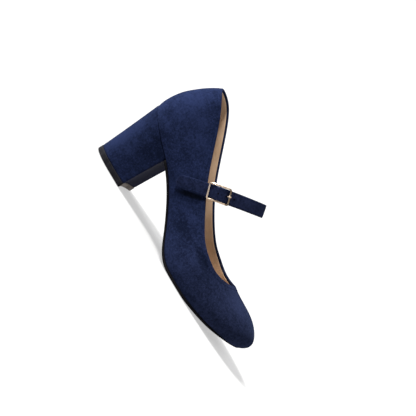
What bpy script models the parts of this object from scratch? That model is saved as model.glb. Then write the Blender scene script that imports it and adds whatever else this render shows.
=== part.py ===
"""Block heel mary jane, a right shoe: suede upper, black sole, covered heel and a buckled instep strap.

The tables and sizes are millimetres. "Along" runs from the back of the shoe towards the toe, the outer
(lateral) side is -Y, and the floor is at height 0. The finished part stands with the middle of its heel on
the origin.
"""

import math

import bmesh
import bpy
import numpy as np

MM = 0.001
SHOE_LENGTH = 232.0
HEEL_CENTRE = 29.0  # the back of the shoe is an oval round this station
BALL_CENTRE = 152.0  # the forefoot is an oval round this station
TOE_ROUNDNESS = 2.15
TOE_DRIFT = 5.0  # how far the toe tip leans to the inner side
WALL = 2.0
GAP = 0.3
OUTSOLE_THICK = 2.4
OUTSOLE_EDGE = 0.7  # how far the outsole shows beyond the feather edge
INSOLE_THICK = 2.4
INSOLE_CLEAR = 0.9
HEEL_LEAN = 10.2  # forward lean of the counter at the height below
HEEL_LEAN_HEIGHT = 50.0
HEEL_LEAN_POWER = 2.3
HEEL_LEAN_REACH = 95.0
SECTION_FULLNESS = 2.2
SECTION_SPRING_HEEL = 1.8
SECTION_SPRING_TOE = 2.0
SECTION_SPRING_FROM = 60.0  # the arch of the sections starts to change at this station

HEEL_BACK_LOW = 2.6
HEEL_FRONT_LOW = 48.0
HEEL_FRONT_TOP = 51.0
HEEL_HALF_WIDTH_LOW = 24.2
HEEL_OVAL_SHARE = 0.62  # the part of the heel's length that is round
HEEL_BREAST_HOLLOW = 2.6
HEEL_BREAST_FADE = 30.0  # the outsole loses the hollow of the breast over this length
HEEL_SIDE_HOLLOW = 0.06
LIFT_THICK = 5.5
LIFT_EDGE_ROUND = 0.6
HEEL_REST_AT = 28.0  # this station of the heel's floor face is the origin

STRAP_WIDTH = 12.4
STRAP_THICK = 1.6
STRAP_SLOPE = math.radians(38.8)
STRAP_FOOT = (72.5, 49.6)  # along and height where the strap's rounded tail ends
STRAP_ARCH = 79.6  # from that point up the slope to the crest over the instep
STRAP_BOW = 1.0  # of its side view, between the tail and the crest
STRAP_HALF_LATERAL = 30.0
STRAP_HALF_MEDIAL = 22.4
STRAP_ROUNDNESS = 2.2
STRAP_CREST_SIDE = 1.0
STRAP_CLEAR = 0.5
STRAP_SETTLE = 1.0  # softness of the bend where the strap comes to lie on the quarter
STRAP_END_FADE = 16.0  # stretch over which an end takes its own outline
STRAP_END_CLEAR = 0.5  # height of the sewn end above the topline

BUCKLE_AT = 40.5  # distance of the centre bar from the tip of the tail
BUCKLE_LENGTH = 21.3
BUCKLE_WIDTH = 16.0
BUCKLE_BAR = 1.6
BUCKLE_CORNER = 1.8
BUCKLE_LIFT = 2.0  # middle of the frame above the middle of the strap
CENTRE_BAR_LIFT = 0.9
CENTRE_BAR_RADIUS = 0.7
STRAP_HUMP = 2.8  # rise of the strap over the centre bar
PRONG_RADIUS = 0.5
PRONG_OVERHANG = 1.7
PRONG_SLOT = (1.8, 6.8)  # from and to, in front of the centre bar
PRONG_SLOT_WIDTH = 1.9
PRONG_HOOK = (math.radians(-160.0), math.radians(-20.0))  # round the centre bar, from behind it to in front
TAB_WIDTH = 8.4
TAB_THICK = 1.2
TAB_NOTCH_WIDTH = 2.2
TAB_END_CLEAR = 0.9
TAB_BEND = (math.radians(-110.0), math.radians(-10.0))  # round the centre bar, from below it to in front
TAB_STEPS = 8

# One row for each section of the last.
# along: station; tread: underside of the sole; rise: feather edge to the widest line;
# tuck_out, tuck_in: feather edge inside the widest line; crown: widest line to ridge; topline: edge height
LAST_COLUMNS = ("along", "tread", "rise", "tuck_out", "tuck_in", "crown", "topline")
LAST_ROWS = (
    (0.0, 67.8, 7.4, 0.7, 0.7, 90.0, 132.6),
    (29.0, 55.4, 11.0, 1.8, 1.8, 88.0, 123.0),
    (60.0, 44.4, 11.5, 2.6, 3.4, 74.0, 98.7),
    (89.0, 27.6, 11.5, 3.0, 4.6, 66.0, 72.6),
    (107.0, 14.8, 11.0, 3.0, 4.6, 64.0, 59.6),
    (122.0, 4.8, 10.5, 2.6, 3.8, 63.0, 50.2),
    (134.0, 0.6, 10.0, 2.4, 3.0, 61.0, 44.0),
    (149.0, -0.7, 9.6, 2.2, 2.4, 52.0, 39.7),
    (162.0, -0.5, 9.2, 2.0, 2.0, 39.0, 38.0),
    (176.0, 1.0, 8.6, 2.0, 2.0, 30.8, 40.6),
    (190.0, 3.0, 8.0, 2.0, 2.0, 29.0, 48.0),
    (205.0, 6.0, 7.4, 2.0, 2.0, 29.6, 58.0),
    (218.0, 9.0, 7.2, 2.4, 2.4, 29.4, 68.0),
    (232.0, 12.9, 7.5, 4.5, 4.5, 25.5, 80.0),
)

# One row for each section of the waist, between the heel's oval and the forefoot's oval.
WAIST_COLUMNS = ("along", "lateral", "medial", "spine")
WAIST_ROWS = (
    (HEEL_CENTRE, 28.5, 28.0, 0.0),
    (55.0, 28.2, 27.0, -0.5),
    (82.0, 28.4, 25.4, -0.8),
    (105.0, 32.0, 25.2, 0.2),
    (128.0, 39.4, 29.9, 1.6),
    (BALL_CENTRE, 43.5, 34.4, 3.0),
)

RIBS = 84  # ribs of the upper round the feather edge
WALL_ROWS = (3, 10)  # rows below and above the widest line
RIB_CROWDING = 1.6
FINE_RIBS = 1200  # the same loop, finely divided, for outlines
HEEL_SIDE_POINTS = 18
HEEL_BREAST_POINTS = 7
HEEL_LEVELS = 7
STRAP_STEPS = 60
STRAP_EDGE_LINE = 0.8  # a line of points inside each edge of the strap, as a share of its half width
SOLE_STATIONS = 56
SOLE_COLUMNS = 7
LOOP_POINTS = 4000
ARCH_POINTS = 3000
SMALL_STEP = 0.05
BAR_SIDES = 10
CORNER_POINTS = 5
HOOK_POINTS = 9
SMOOTH_ANGLE = math.radians(40.0)


def spline(at, knots, values, level_ends=False):
    """Cubic spline through the rows, free or level at its ends."""
    at = np.asarray(at, float)
    knots = np.asarray(knots, float)
    values = np.asarray(values, float)
    gaps = np.diff(knots)
    slopes = np.diff(values) / gaps
    count = len(knots)
    system = np.eye(count)
    right = np.zeros(count)
    for row in range(1, count - 1):
        system[row, row - 1 : row + 2] = gaps[row - 1], 2 * (gaps[row - 1] + gaps[row]), gaps[row]
        right[row] = 6 * (slopes[row] - slopes[row - 1])
    if level_ends:
        system[0, :2] = 2 * gaps[0], gaps[0]
        system[-1, -2:] = gaps[-1], 2 * gaps[-1]
        right[0] = 6 * slopes[0]
        right[-1] = -6 * slopes[-1]
    bends = np.linalg.solve(system, right)
    cell = np.clip(np.searchsorted(knots, at, side="right") - 1, 0, count - 2)
    gap = gaps[cell]
    near = np.clip((at - knots[cell]) / gap, 0.0, 1.0)
    far = 1 - near
    curve = (far**3 - far) * bends[cell] + (near**3 - near) * bends[cell + 1]
    return far * values[cell] + near * values[cell + 1] + curve * gap**2 / 6


def last(name, along):
    """A column of the last's table at any station."""
    columns = list(zip(*LAST_ROWS))
    return spline(along, columns[0], columns[LAST_COLUMNS.index(name)])


def waist(name, along):
    """A column of the waist's table, level where it meets the two ovals."""
    columns = list(zip(*WAIST_ROWS))
    inside = np.clip(along, HEEL_CENTRE, BALL_CENTRE)
    return spline(inside, columns[0], columns[WAIST_COLUMNS.index(name)], level_ends=True)


def tread(along):
    """Underside of the sole, flat on the floor at the ball."""
    return np.maximum(last("tread", along), 0.0)


def feather(along):
    """Height of the upper's lower edge, which sits on the sole."""
    return tread(along) + OUTSOLE_THICK + GAP


def half_width(along, side):
    """Distance from the spine to the widest line, for side -1 (lateral) or +1 (medial)."""
    along = np.asarray(along, float)
    wide = np.where(side < 0, waist("lateral", along), waist("medial", along))
    back = np.clip((HEEL_CENTRE - along) / HEEL_CENTRE, 0.0, 1.0)
    front = np.clip((along - BALL_CENTRE) / (SHOE_LENGTH - BALL_CENTRE), 0.0, 1.0)
    heel_oval = np.sqrt(1 - back**2)
    toe_oval = (1 - front**TOE_ROUNDNESS) ** (1 / TOE_ROUNDNESS)
    return wide * heel_oval * toe_oval


def spine(along):
    """Middle line in plan, which drifts to the inner side at the toe."""
    front = np.clip((along - BALL_CENTRE) / (SHOE_LENGTH - BALL_CENTRE), 0.0, 1.0)
    return waist("spine", along) + TOE_DRIFT * front**2


def rays(count):
    """The widest line as a loop of evenly spaced points, each with the spine point it faces."""
    along = SHOE_LENGTH * (0.5 - 0.5 * np.cos(np.linspace(0.0, math.pi, LOOP_POINTS)))
    loops = []
    for side in (-1, 1):
        across = spine(along) + side * half_width(along, side)
        loops.append(np.stack([along, across], axis=1))
    loop = np.concatenate([loops[0], loops[1][::-1][1:]])
    steps = np.linalg.norm(np.diff(loop, axis=0), axis=1)
    length = np.concatenate([[0.0], np.cumsum(steps)])
    half = length[LOOP_POINTS - 1]
    share = np.arange(count // 2 + 1) / (count // 2)
    wanted = np.concatenate([half * share, half + (length[-1] - half) * share[1:-1]])
    points = np.stack([np.interp(wanted, length, loop[:, k]) for k in (0, 1)], axis=1)
    side = np.where(wanted <= half, -1.0, 1.0)
    facing = np.clip(points[:, 0], HEEL_CENTRE, BALL_CENTRE)
    centres = np.stack([facing, spine(facing)], axis=1)
    return points, centres, side


def section_spring(along):
    """How squarely the sections spring from the widest line."""
    ends = (SECTION_SPRING_FROM, BALL_CENTRE)
    return np.interp(along, ends, (SECTION_SPRING_HEEL, SECTION_SPRING_TOE))


def dome(points, centres, reach):
    """The last above its widest line: a superellipse arch over the plan, leaning forward at the heel."""
    plan = centres + reach[..., None] * (points - centres)
    along = np.clip(plan[..., 0], 0.0, SHOE_LENGTH)
    arch = np.clip(1 - reach**SECTION_FULLNESS, 0.0, 1.0) ** (1 / section_spring(along))
    up = last("rise", along) + last("crown", along) * arch
    return np.stack([along + heel_lean(along, up), plan[..., 1], feather(along) + up], axis=-1)


def heel_lean(along, up):
    """Forward shift of the counter, which grows with its height and fades along the foot."""
    fade = np.clip(1 - along / HEEL_LEAN_REACH, 0.0, 1.0) ** 2
    return HEEL_LEAN * fade * (np.maximum(up, 0.0) / HEEL_LEAN_HEIGHT) ** HEEL_LEAN_POWER


def topline_reach(points, centres):
    """How far out on each ray the dome meets the topline."""
    low = np.zeros(len(points))
    high = np.ones(len(points))
    for _ in range(40):
        middle = (low + high) / 2
        surface = dome(points, centres, middle)
        above = surface[:, 2] > last("topline", np.clip(surface[:, 0], 0.0, SHOE_LENGTH))
        low = np.where(above, middle, low)
        high = np.where(above, high, middle)
    return (low + high) / 2


def tuck(points, centres, side):
    """Inward step of the feather edge from the widest line, towards the spine."""
    inward = centres - points
    inward /= np.linalg.norm(inward, axis=1, keepdims=True)
    depth = np.where(side < 0, last("tuck_out", points[:, 0]), last("tuck_in", points[:, 0]))
    return inward * depth[:, None]


def upper_rows(count, below, above):
    """The upper's outer surface as rows of points: feather edge, widest line, topline."""
    points, centres, side = rays(count)
    tucked = tuck(points, centres, side)
    edge = topline_reach(points, centres)
    rise = last("rise", points[:, 0])
    rows = []
    for step in range(below):
        share = step / below
        plan = points + tucked * (1 - share) ** 2
        up = rise * share
        lean = heel_lean(points[:, 0], up)
        rows.append(np.stack([plan[:, 0] + lean, plan[:, 1], feather(plan[:, 0]) + up], axis=1))
    for step in range(above + 1):
        share = (step / above) ** RIB_CROWDING
        rows.append(dome(points, centres, 1 - (1 - edge) * share))
    return np.array(rows)


def grid_normals(rows):
    """Outward normals of a grid of rows that closes round each row."""
    across = np.roll(rows, -1, axis=1) - np.roll(rows, 1, axis=1)
    upward = np.gradient(rows, axis=0)
    normal = np.cross(across, upward)
    return normal / np.linalg.norm(normal, axis=2, keepdims=True)


def feather_loop(beyond):
    """The feather edge in plan as a fine loop, moved outwards by a margin."""
    points, centres, sides = rays(FINE_RIBS)
    outward = points - centres
    outward /= np.linalg.norm(outward, axis=1, keepdims=True)
    return points + tuck(points, centres, sides) + outward * beyond


def feather_edge(along, side, beyond):
    """Plan of the feather edge at stations on one side, moved outwards by a margin."""
    edge = feather_loop(beyond)
    half = FINE_RIBS // 2
    run = edge[: half + 1] if side < 0 else np.concatenate([edge[half:], edge[:1]])[::-1]
    return np.interp(along, run[:, 0], run[:, 1])


def outline_limits(beyond):
    """Where the feather edge, moved outwards by a margin, starts and ends along the shoe."""
    edge = feather_loop(beyond)
    return edge[0, 0], edge[FINE_RIBS // 2, 0]


def make_object(name, vertices, faces, material):
    """One closed mesh object in metres, with doubled points merged and faces turned outwards."""
    mesh = bpy.data.meshes.new(name)
    mesh.from_pydata((np.asarray(vertices) * MM).tolist(), [], faces)
    work = bmesh.new()
    work.from_mesh(mesh)
    bmesh.ops.remove_doubles(work, verts=work.verts, dist=1e-6)
    bmesh.ops.recalc_face_normals(work, faces=work.faces)
    work.to_mesh(mesh)
    work.free()
    mesh.materials.append(material)
    mesh.shade_smooth()
    mesh.set_sharp_from_angle(angle=SMOOTH_ANGLE)
    part = bpy.data.objects.new(name, mesh)
    bpy.context.scene.collection.objects.link(part)
    return part


def make_material(name, colour, roughness, metallic=0.0):
    """A plain finish with one colour."""
    material = bpy.data.materials.new(name)
    material.use_nodes = True
    shader = material.node_tree.nodes["Principled BSDF"]
    shader.inputs["Base Color"].default_value = (*colour, 1.0)
    shader.inputs["Roughness"].default_value = roughness
    shader.inputs["Metallic"].default_value = metallic
    return material


def loop_faces(count, first, second):
    """Quads between two loops of points that start at these indices."""
    ahead = [(i + 1) % count for i in range(count)]
    return [(first + i, first + ahead[i], second + ahead[i], second + i) for i in range(count)]


def make_upper(material):
    """Hollow wall between the outer rows and the same rows moved inwards by the wall."""
    outer = upper_rows(RIBS, *WALL_ROWS)
    inner = outer - grid_normals(outer) * WALL
    inner[0, :, 2] = feather(inner[0, :, 0])
    rows = np.concatenate([outer, inner[::-1]])
    faces = []
    for row in range(len(rows)):
        following = (row + 1) % len(rows)
        faces += loop_faces(RIBS, row * RIBS, following * RIBS)
    return make_object("upper", rows.reshape(-1, 3), faces, material)


def plate(along, lateral, medial, low, thick):
    """A sheet of one thickness between two plan lines, with stations and heights for each column."""
    across = along.shape[1]
    share = np.linspace(0.0, 1.0, across)
    side = lateral[:, None] + (medial - lateral)[:, None] * share
    top = np.stack([along, side, low + thick], axis=-1)
    bottom = np.stack([along, side, low], axis=-1)
    rings = np.concatenate([top, bottom[:, ::-1]], axis=1)
    ring = 2 * across
    faces = []
    for row in range(len(along) - 1):
        faces += loop_faces(ring, row * ring, (row + 1) * ring)
    for start in (0, (len(along) - 1) * ring):
        for k in range(across - 1):
            faces.append((start + k, start + k + 1, start + ring - 2 - k, start + ring - 1 - k))
    return rings.reshape(-1, 3), faces


def make_outsole(material):
    """Thin sole from the heel breast, whose hollow it follows, to the toe."""
    _, end = outline_limits(OUTSOLE_EDGE)
    start = HEEL_FRONT_TOP + GAP
    line = start + (end - start) * np.sin(np.linspace(0.0, math.pi / 2, SOLE_STATIONS))
    lateral = feather_edge(line, -1, OUTSOLE_EDGE)
    medial = feather_edge(line, 1, OUTSOLE_EDGE)
    hollow = HEEL_BREAST_HOLLOW * (1 - np.linspace(-1.0, 1.0, SOLE_COLUMNS) ** 2)
    fade = np.clip(1 - (line - start) / HEEL_BREAST_FADE, 0.0, 1.0)
    along = line[:, None] - fade[:, None] * hollow
    vertices, faces = plate(along, lateral, medial, tread(along), OUTSOLE_THICK)
    return make_object("outsole", vertices, faces, material)


def make_insole(material):
    """Sock that lies on the sole and the heel seat inside the wall."""
    margin = -(WALL + INSOLE_CLEAR)
    start, end = outline_limits(margin)
    line = start + (end - start) * (0.5 - 0.5 * np.cos(np.linspace(0.0, math.pi, SOLE_STATIONS)))
    lateral = feather_edge(line, -1, margin)
    medial = feather_edge(line, 1, margin)
    along = np.repeat(line[:, None], SOLE_COLUMNS, axis=1)
    vertices, faces = plate(along, lateral, medial, feather(along), INSOLE_THICK)
    return make_object("insole", vertices, faces, material)


def heel_stations(back, front):
    """Stations down one side of the heel, crowded at its round back."""
    return back + (front - back) * (1 - np.cos(np.linspace(0.0, math.pi / 2, HEEL_SIDE_POINTS)))


def breast_edge(front, lateral, medial):
    """Points of the hollow front edge between two corners."""
    share = np.linspace(0.0, 1.0, HEEL_BREAST_POINTS + 2)[1:-1]
    along = front - HEEL_BREAST_HOLLOW * (1 - (2 * share - 1) ** 2)
    return along, lateral + (medial - lateral) * share


def heel_bottom():
    """The D of the heel's floor end: an oval back, straight sides and a hollow front edge."""
    along = heel_stations(HEEL_BACK_LOW, HEEL_FRONT_LOW)
    oval = HEEL_OVAL_SHARE * (HEEL_FRONT_LOW - HEEL_BACK_LOW)
    back = 1 - np.minimum((along - HEEL_BACK_LOW) / oval, 1.0)
    across = HEEL_HALF_WIDTH_LOW * np.sqrt(1 - back**2)
    front_along, front_across = breast_edge(HEEL_FRONT_LOW, -HEEL_HALF_WIDTH_LOW, HEEL_HALF_WIDTH_LOW)
    loop_along = np.concatenate([along, front_along, along[::-1]])
    loop_across = np.concatenate([-across, front_across, across[::-1]])
    return loop_along, loop_across


def heel_top():
    """The heel's seat: the feather edge from the back to the breast, point for point with the floor end."""
    start, _ = outline_limits(0.0)
    along = heel_stations(start, HEEL_FRONT_TOP)
    lateral = feather_edge(along, -1, 0.0)
    medial = feather_edge(along, 1, 0.0)
    front_along, front_across = breast_edge(HEEL_FRONT_TOP, lateral[-1], medial[-1])
    loop_along = np.concatenate([along, front_along, along[::-1]])
    loop_across = np.concatenate([lateral, front_across, medial[::-1]])
    return loop_along, loop_across


def heel_caps(count, first, last_loop):
    """The seat as strips across the heel, and the floor end as one face."""
    faces = []
    sides = HEEL_SIDE_POINTS
    for i in range(sides - 2):
        faces.append((first + i, first + i + 1, first + count - 2 - i, first + count - 1 - i))
    fore = list(range(first + sides - 2, first + count - sides + 2))
    faces.append(tuple(fore))
    faces.append(tuple(range(last_loop, last_loop + count)))
    return faces


def make_heel(material):
    """Block from the seat down to the lift, drawn in slightly between them."""
    top_along, top_across = heel_top()
    low_along, low_across = heel_bottom()
    seat = tread(top_along) + OUTSOLE_THICK
    floor = LIFT_THICK + GAP
    count = len(top_along)
    loops = []
    for level in range(HEEL_LEVELS):
        share = level / (HEEL_LEVELS - 1)
        drawn = share + HEEL_SIDE_HOLLOW * math.sin(math.pi * share)
        along = top_along + (low_along - top_along) * drawn
        across = top_across + (low_across - top_across) * drawn
        height = seat + (floor - seat) * share
        loops.append(np.stack([along, across, height], axis=1))
    faces = []
    for level in range(HEEL_LEVELS - 1):
        faces += loop_faces(count, level * count, (level + 1) * count)
    faces += heel_caps(count, 0, (HEEL_LEVELS - 1) * count)
    return make_object("heel", np.concatenate(loops), faces, material)


def make_lift(material):
    """Wearing piece with the heel's floor outline and a small round at its lower edge."""
    along, across = heel_bottom()
    middle = np.array([HEEL_REST_AT, 0.0])
    rings = []
    for height, inset in ((LIFT_THICK, 0.0), (LIFT_EDGE_ROUND, 0.0), (0.0, LIFT_EDGE_ROUND)):
        plan = np.stack([along, across], axis=1) - middle
        plan = plan * (1 - inset / HEEL_HALF_WIDTH_LOW) + middle
        rings.append(np.column_stack([plan, np.full(len(along), height)]))
    count = len(along)
    faces = loop_faces(count, 0, count) + loop_faces(count, count, 2 * count)
    faces.append(tuple(range(count)))
    faces.append(tuple(range(2 * count, 3 * count)))
    return make_object("top_lift", np.concatenate(rings), faces, material)


def quarter_side(along, height, side):
    """Plan position of the upper's outer face at a point of its side view."""
    up = np.clip(height - feather(along) - last("rise", along), 0.0, None)
    arch = (up / last("crown", along)) ** section_spring(along)
    reach = np.clip(1 - arch, 0.0, 1.0) ** (1 / SECTION_FULLNESS)
    return spine(along) + side * half_width(along, side) * reach


def strap_arch():
    """The strap's middle line in its sloping plane: length run, rise up the slope and place across."""
    turn = np.linspace(0.0, math.pi, ARCH_POINTS)
    rise = STRAP_ARCH * np.sin(turn) ** (2 / STRAP_ROUNDNESS)
    reach = np.abs(np.cos(turn)) ** (2 / STRAP_ROUNDNESS)
    across = STRAP_CREST_SIDE + np.where(
        turn < math.pi / 2,
        -reach * (STRAP_HALF_LATERAL + STRAP_CREST_SIDE),
        reach * (STRAP_HALF_MEDIAL - STRAP_CREST_SIDE),
    )
    run = np.concatenate([[0.0], np.cumsum(np.hypot(np.diff(rise), np.diff(across)))])
    return run, rise, across


def strap_side_view(rise, offset):
    """Along and height of a strap point from its rise up the slope and its offset across the strap."""
    bowed = offset + STRAP_BOW * np.sin(math.pi * rise / STRAP_ARCH)
    along = STRAP_FOOT[0] + rise * math.cos(STRAP_SLOPE) - bowed * math.sin(STRAP_SLOPE)
    height = STRAP_FOOT[1] + rise * math.sin(STRAP_SLOPE) + bowed * math.cos(STRAP_SLOPE)
    return along, height


def strap_middle(run, offset):
    """The strap's middle surface: the arch, kept outside the outer quarter and led into the inner topline."""
    runs, rises, sides = strap_arch()
    rise = np.interp(run, runs, rises)
    across = np.interp(run, runs, sides)
    along, height = strap_side_view(rise, offset)
    outside = quarter_side(along, height, -1) - STRAP_CLEAR - STRAP_THICK / 2
    held = 0.5 * (across + outside - np.hypot(across - outside, STRAP_SETTLE))
    inside = quarter_side(along, height, 1) - WALL / 2
    above = np.clip((height - last("topline", along)) / STRAP_END_FADE, 0.0, 1.0)
    led = inside + (across - inside) * above**2 * (3 - 2 * above)
    crest = runs[np.argmax(rises)]
    return np.stack([along, np.where(run < crest, held, led), height], axis=-1)


def strap_point(run, offset, out):
    """A point at a run from the tail, an offset across the strap and a distance outside its middle."""
    run, offset, out = np.broadcast_arrays(run, offset, out)
    along = strap_middle(run + SMALL_STEP, offset) - strap_middle(run - SMALL_STEP, offset)
    across = strap_middle(run, offset + SMALL_STEP) - strap_middle(run, offset - SMALL_STEP)
    normal = np.cross(along, across)
    normal /= np.linalg.norm(normal, axis=-1, keepdims=True)
    return strap_middle(run, offset) + normal * out[..., None]


def topline_run(offset, medial, clear):
    """Distance run at which the strap's plane crosses the topline on one side."""
    runs, rises, _ = strap_arch()
    crest = np.argmax(rises)
    half = slice(crest, None) if medial else slice(0, crest)
    along, height = strap_side_view(rises[half], offset)
    above = height - last("topline", along)
    order = np.argsort(above)
    return np.interp(clear, above[order], runs[half][order])


def sheet_solid(outer, inner, kept):
    """A sheet between two grids of points with only the kept cells, walled round its edges and holes."""
    count = outer.shape[1]
    total = outer.shape[0] * count
    faces = []
    cells = np.pad(kept, 1)
    for i in range(kept.shape[0]):
        for k in range(kept.shape[1]):
            if not kept[i, k]:
                continue
            ring = [i * count + k, (i + 1) * count + k, (i + 1) * count + k + 1, i * count + k + 1]
            faces.append(tuple(ring))
            faces.append(tuple(total + v for v in reversed(ring)))
            beyond = (cells[i + 1, k], cells[i + 2, k + 1], cells[i + 1, k + 2], cells[i, k + 1])
            for e in range(4):
                if not beyond[e]:
                    a, b = ring[e], ring[(e + 1) % 4]
                    faces.append((b, a, total + a, total + b))
    return np.concatenate([outer.reshape(-1, 3), inner.reshape(-1, 3)]), faces


def strap_hump(run):
    """Rise of the strap over the centre bar, level under the two end bars."""
    away = np.clip((run - BUCKLE_AT) / (BUCKLE_LENGTH / 2 - BUCKLE_BAR / 2), -1.0, 1.0)
    return STRAP_HUMP * (0.5 + 0.5 * np.cos(math.pi * away))


def make_strap(material):
    """Strap from its round tail on the outer quarter through the buckle, over the instep to the inside."""
    half = STRAP_WIDTH / 2
    slot_half = PRONG_SLOT_WIDTH / 2
    edge_line = STRAP_EDGE_LINE * half
    offsets = np.array([-half, -edge_line, -slot_half, slot_half, edge_line, half])
    ends = np.array([topline_run(offset, True, STRAP_END_CLEAR) for offset in offsets])
    slot = [BUCKLE_AT + edge for edge in PRONG_SLOT]
    line = np.sort(np.concatenate([np.linspace(0.0, ends.min(), STRAP_STEPS), slot]))
    tip = half - np.sqrt(np.clip(half**2 - offsets**2, 0.0, None))
    near_tip = np.clip(1 - line / STRAP_END_FADE, 0.0, 1.0)[:, None]
    near_end = np.clip(1 - (line[-1] - line) / STRAP_END_FADE, 0.0, 1.0)[:, None]
    run = line[:, None] + near_tip * tip + near_end * (ends - line[-1])
    hump = strap_hump(run)
    outer = strap_point(run, offsets, hump + STRAP_THICK / 2)
    inner = strap_point(run, offsets, hump - STRAP_THICK / 2)
    kept = np.ones((len(line) - 1, len(offsets) - 1), bool)
    middles = (line[1:] + line[:-1]) / 2
    kept[(middles > slot[0]) & (middles < slot[1]), 2] = False
    vertices, faces = sheet_solid(outer, inner, kept)
    return make_object("strap", vertices, faces, material)


def make_buckle_tab(material):
    """Tab from the outer topline, forked round the prong and bent up in front of the centre bar."""
    half = TAB_WIDTH / 2
    notch = TAB_NOTCH_WIDTH / 2
    offsets = np.array([-half, -notch, notch, half])
    radius = CENTRE_BAR_RADIUS + GAP + TAB_THICK / 2
    turns = np.linspace(*TAB_BEND, TAB_STEPS)
    bend_run = BUCKLE_AT + radius * np.cos(turns)
    bend_out = CENTRE_BAR_LIFT + radius * np.sin(turns)
    starts = np.array([topline_run(offset, False, TAB_END_CLEAR) for offset in offsets])
    rim = strap_middle(starts, offsets)
    rim_out = rim[:, 1] - quarter_side(rim[:, 0], rim[:, 2], -1) - WALL / 2
    share = np.linspace(0.0, 1.0, TAB_STEPS)[:-1, None]
    ease = share**2 * (3 - 2 * share)
    bent_run = np.tile(bend_run[:, None], len(offsets))
    run = np.concatenate([starts + (bend_run[0] - starts) * share, bent_run])
    bent_out = np.tile(bend_out[:, None], len(offsets))
    out = np.concatenate([rim_out + (bend_out[0] - rim_out) * ease, bent_out])
    ahead = np.stack([np.gradient(run, axis=0), np.gradient(out, axis=0)])
    ahead *= TAB_THICK / 2 / np.linalg.norm(ahead, axis=0)
    outer = strap_point(run - ahead[1], offsets, out + ahead[0])
    inner = strap_point(run + ahead[1], offsets, out - ahead[0])
    kept = np.ones((len(run) - 1, len(offsets) - 1), bool)
    kept[TAB_STEPS - 3 :, 1] = False
    vertices, faces = sheet_solid(outer, inner, kept)
    return make_object("buckle_tab", vertices, faces, material)


def tube(path, radius, upright, closed):
    """A round bar along a path in strap coordinates, with flat ends unless it closes on itself."""
    count = len(path)
    ahead = np.roll(path, -1, axis=0) - np.roll(path, 1, axis=0) if closed else np.gradient(path, axis=0)
    sideways = np.cross(ahead, upright)
    sideways /= np.linalg.norm(sideways, axis=1, keepdims=True)
    turn = (np.arange(BAR_SIDES) + 0.5) * 2 * math.pi / BAR_SIDES
    over = np.cross(sideways, ahead)
    over /= np.linalg.norm(over, axis=1, keepdims=True)
    ring = np.cos(turn)[:, None] * sideways[:, None] + np.sin(turn)[:, None] * over[:, None]
    points = path[:, None] + radius * ring
    vertices = strap_point(points[..., 0], points[..., 1], points[..., 2]).reshape(-1, 3)
    faces = []
    for i in range(count if closed else count - 1):
        faces += loop_faces(BAR_SIDES, i * BAR_SIDES, (i + 1) % count * BAR_SIDES)
    if not closed:
        faces.append(tuple(range(BAR_SIDES)))
        faces.append(tuple(range((count - 1) * BAR_SIDES, count * BAR_SIDES)))
    return vertices, faces


def make_buckle(material):
    """Rectangular frame with round corners over the strap, and the centre bar under it."""
    reach = BUCKLE_LENGTH / 2 - BUCKLE_BAR / 2
    spread = BUCKLE_WIDTH / 2 - BUCKLE_BAR / 2
    path = []
    for corner in range(4):
        middle = math.pi / 4 + corner * math.pi / 2
        run = BUCKLE_AT + math.copysign(reach - BUCKLE_CORNER, math.cos(middle))
        offset = math.copysign(spread - BUCKLE_CORNER, math.sin(middle))
        for turn in np.linspace(middle - math.pi / 4, middle + math.pi / 4, CORNER_POINTS):
            bend = (BUCKLE_CORNER * math.cos(turn), BUCKLE_CORNER * math.sin(turn))
            path.append((run + bend[0], offset + bend[1], BUCKLE_LIFT))
    vertices, faces = tube(np.array(path), BUCKLE_BAR / 2, (0.0, 0.0, 1.0), True)
    frame = make_object("buckle", vertices, faces, material)
    across = np.array([(BUCKLE_AT, side * spread, CENTRE_BAR_LIFT) for side in (-1.0, 0.0, 1.0)])
    vertices, faces = tube(across, CENTRE_BAR_RADIUS, (0.0, 0.0, 1.0), False)
    bar = make_object("centre_bar", vertices, faces, material)
    bar.hide_render = True
    bar.display_type = "WIRE"
    joined = frame.modifiers.new("centre_bar", "BOOLEAN")
    joined.operation = "UNION"
    joined.object = bar
    return frame, bar


def make_prong(material):
    """Pin hooked under the centre bar, rising through the strap's slot and resting over the front bar."""
    hook = CENTRE_BAR_RADIUS + GAP + PRONG_RADIUS
    turns = np.linspace(*PRONG_HOOK, HOOK_POINTS)
    rest_run = BUCKLE_LENGTH / 2 - BUCKLE_BAR / 2
    rest_out = BUCKLE_LIFT + BUCKLE_BAR / 2 + GAP + PRONG_RADIUS
    run = np.concatenate([hook * np.cos(turns), [rest_run, rest_run + PRONG_OVERHANG]])
    out = np.concatenate([CENTRE_BAR_LIFT + hook * np.sin(turns), [rest_out, rest_out]])
    path = np.stack([BUCKLE_AT + run, np.zeros(len(run)), out], axis=1)
    vertices, faces = tube(path, PRONG_RADIUS, (0.0, 1.0, 0.0), False)
    return make_object("prong", vertices, faces, material)


def clear_scene():
    """An empty scene to build in."""
    for existing in list(bpy.data.objects):
        bpy.data.objects.remove(existing, do_unlink=True)


def main():
    clear_scene()
    suede = make_material("navy_suede", (0.022, 0.031, 0.072), 0.9)
    sole_rubber = make_material("black_sole", (0.012, 0.012, 0.014), 0.55)
    lift_rubber = make_material("lift_rubber", (0.024, 0.024, 0.03), 0.6)
    lining = make_material("beige_lining", (0.45, 0.31, 0.2), 0.6)
    gold = make_material("pale_gold", (0.75, 0.6, 0.42), 0.25, 1.0)
    parts = [
        make_upper(suede),
        make_outsole(sole_rubber),
        make_heel(suede),
        make_lift(lift_rubber),
        make_insole(lining),
        make_strap(suede),
        make_buckle_tab(suede),
        *make_buckle(gold),
        make_prong(gold),
    ]
    shoe = bpy.data.objects.new("shoe", None)
    shoe.location = (-HEEL_REST_AT * MM, 0.0, 0.0)
    bpy.context.scene.collection.objects.link(shoe)
    for part in parts:
        part.parent = shoe


main()
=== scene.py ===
import math

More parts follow.
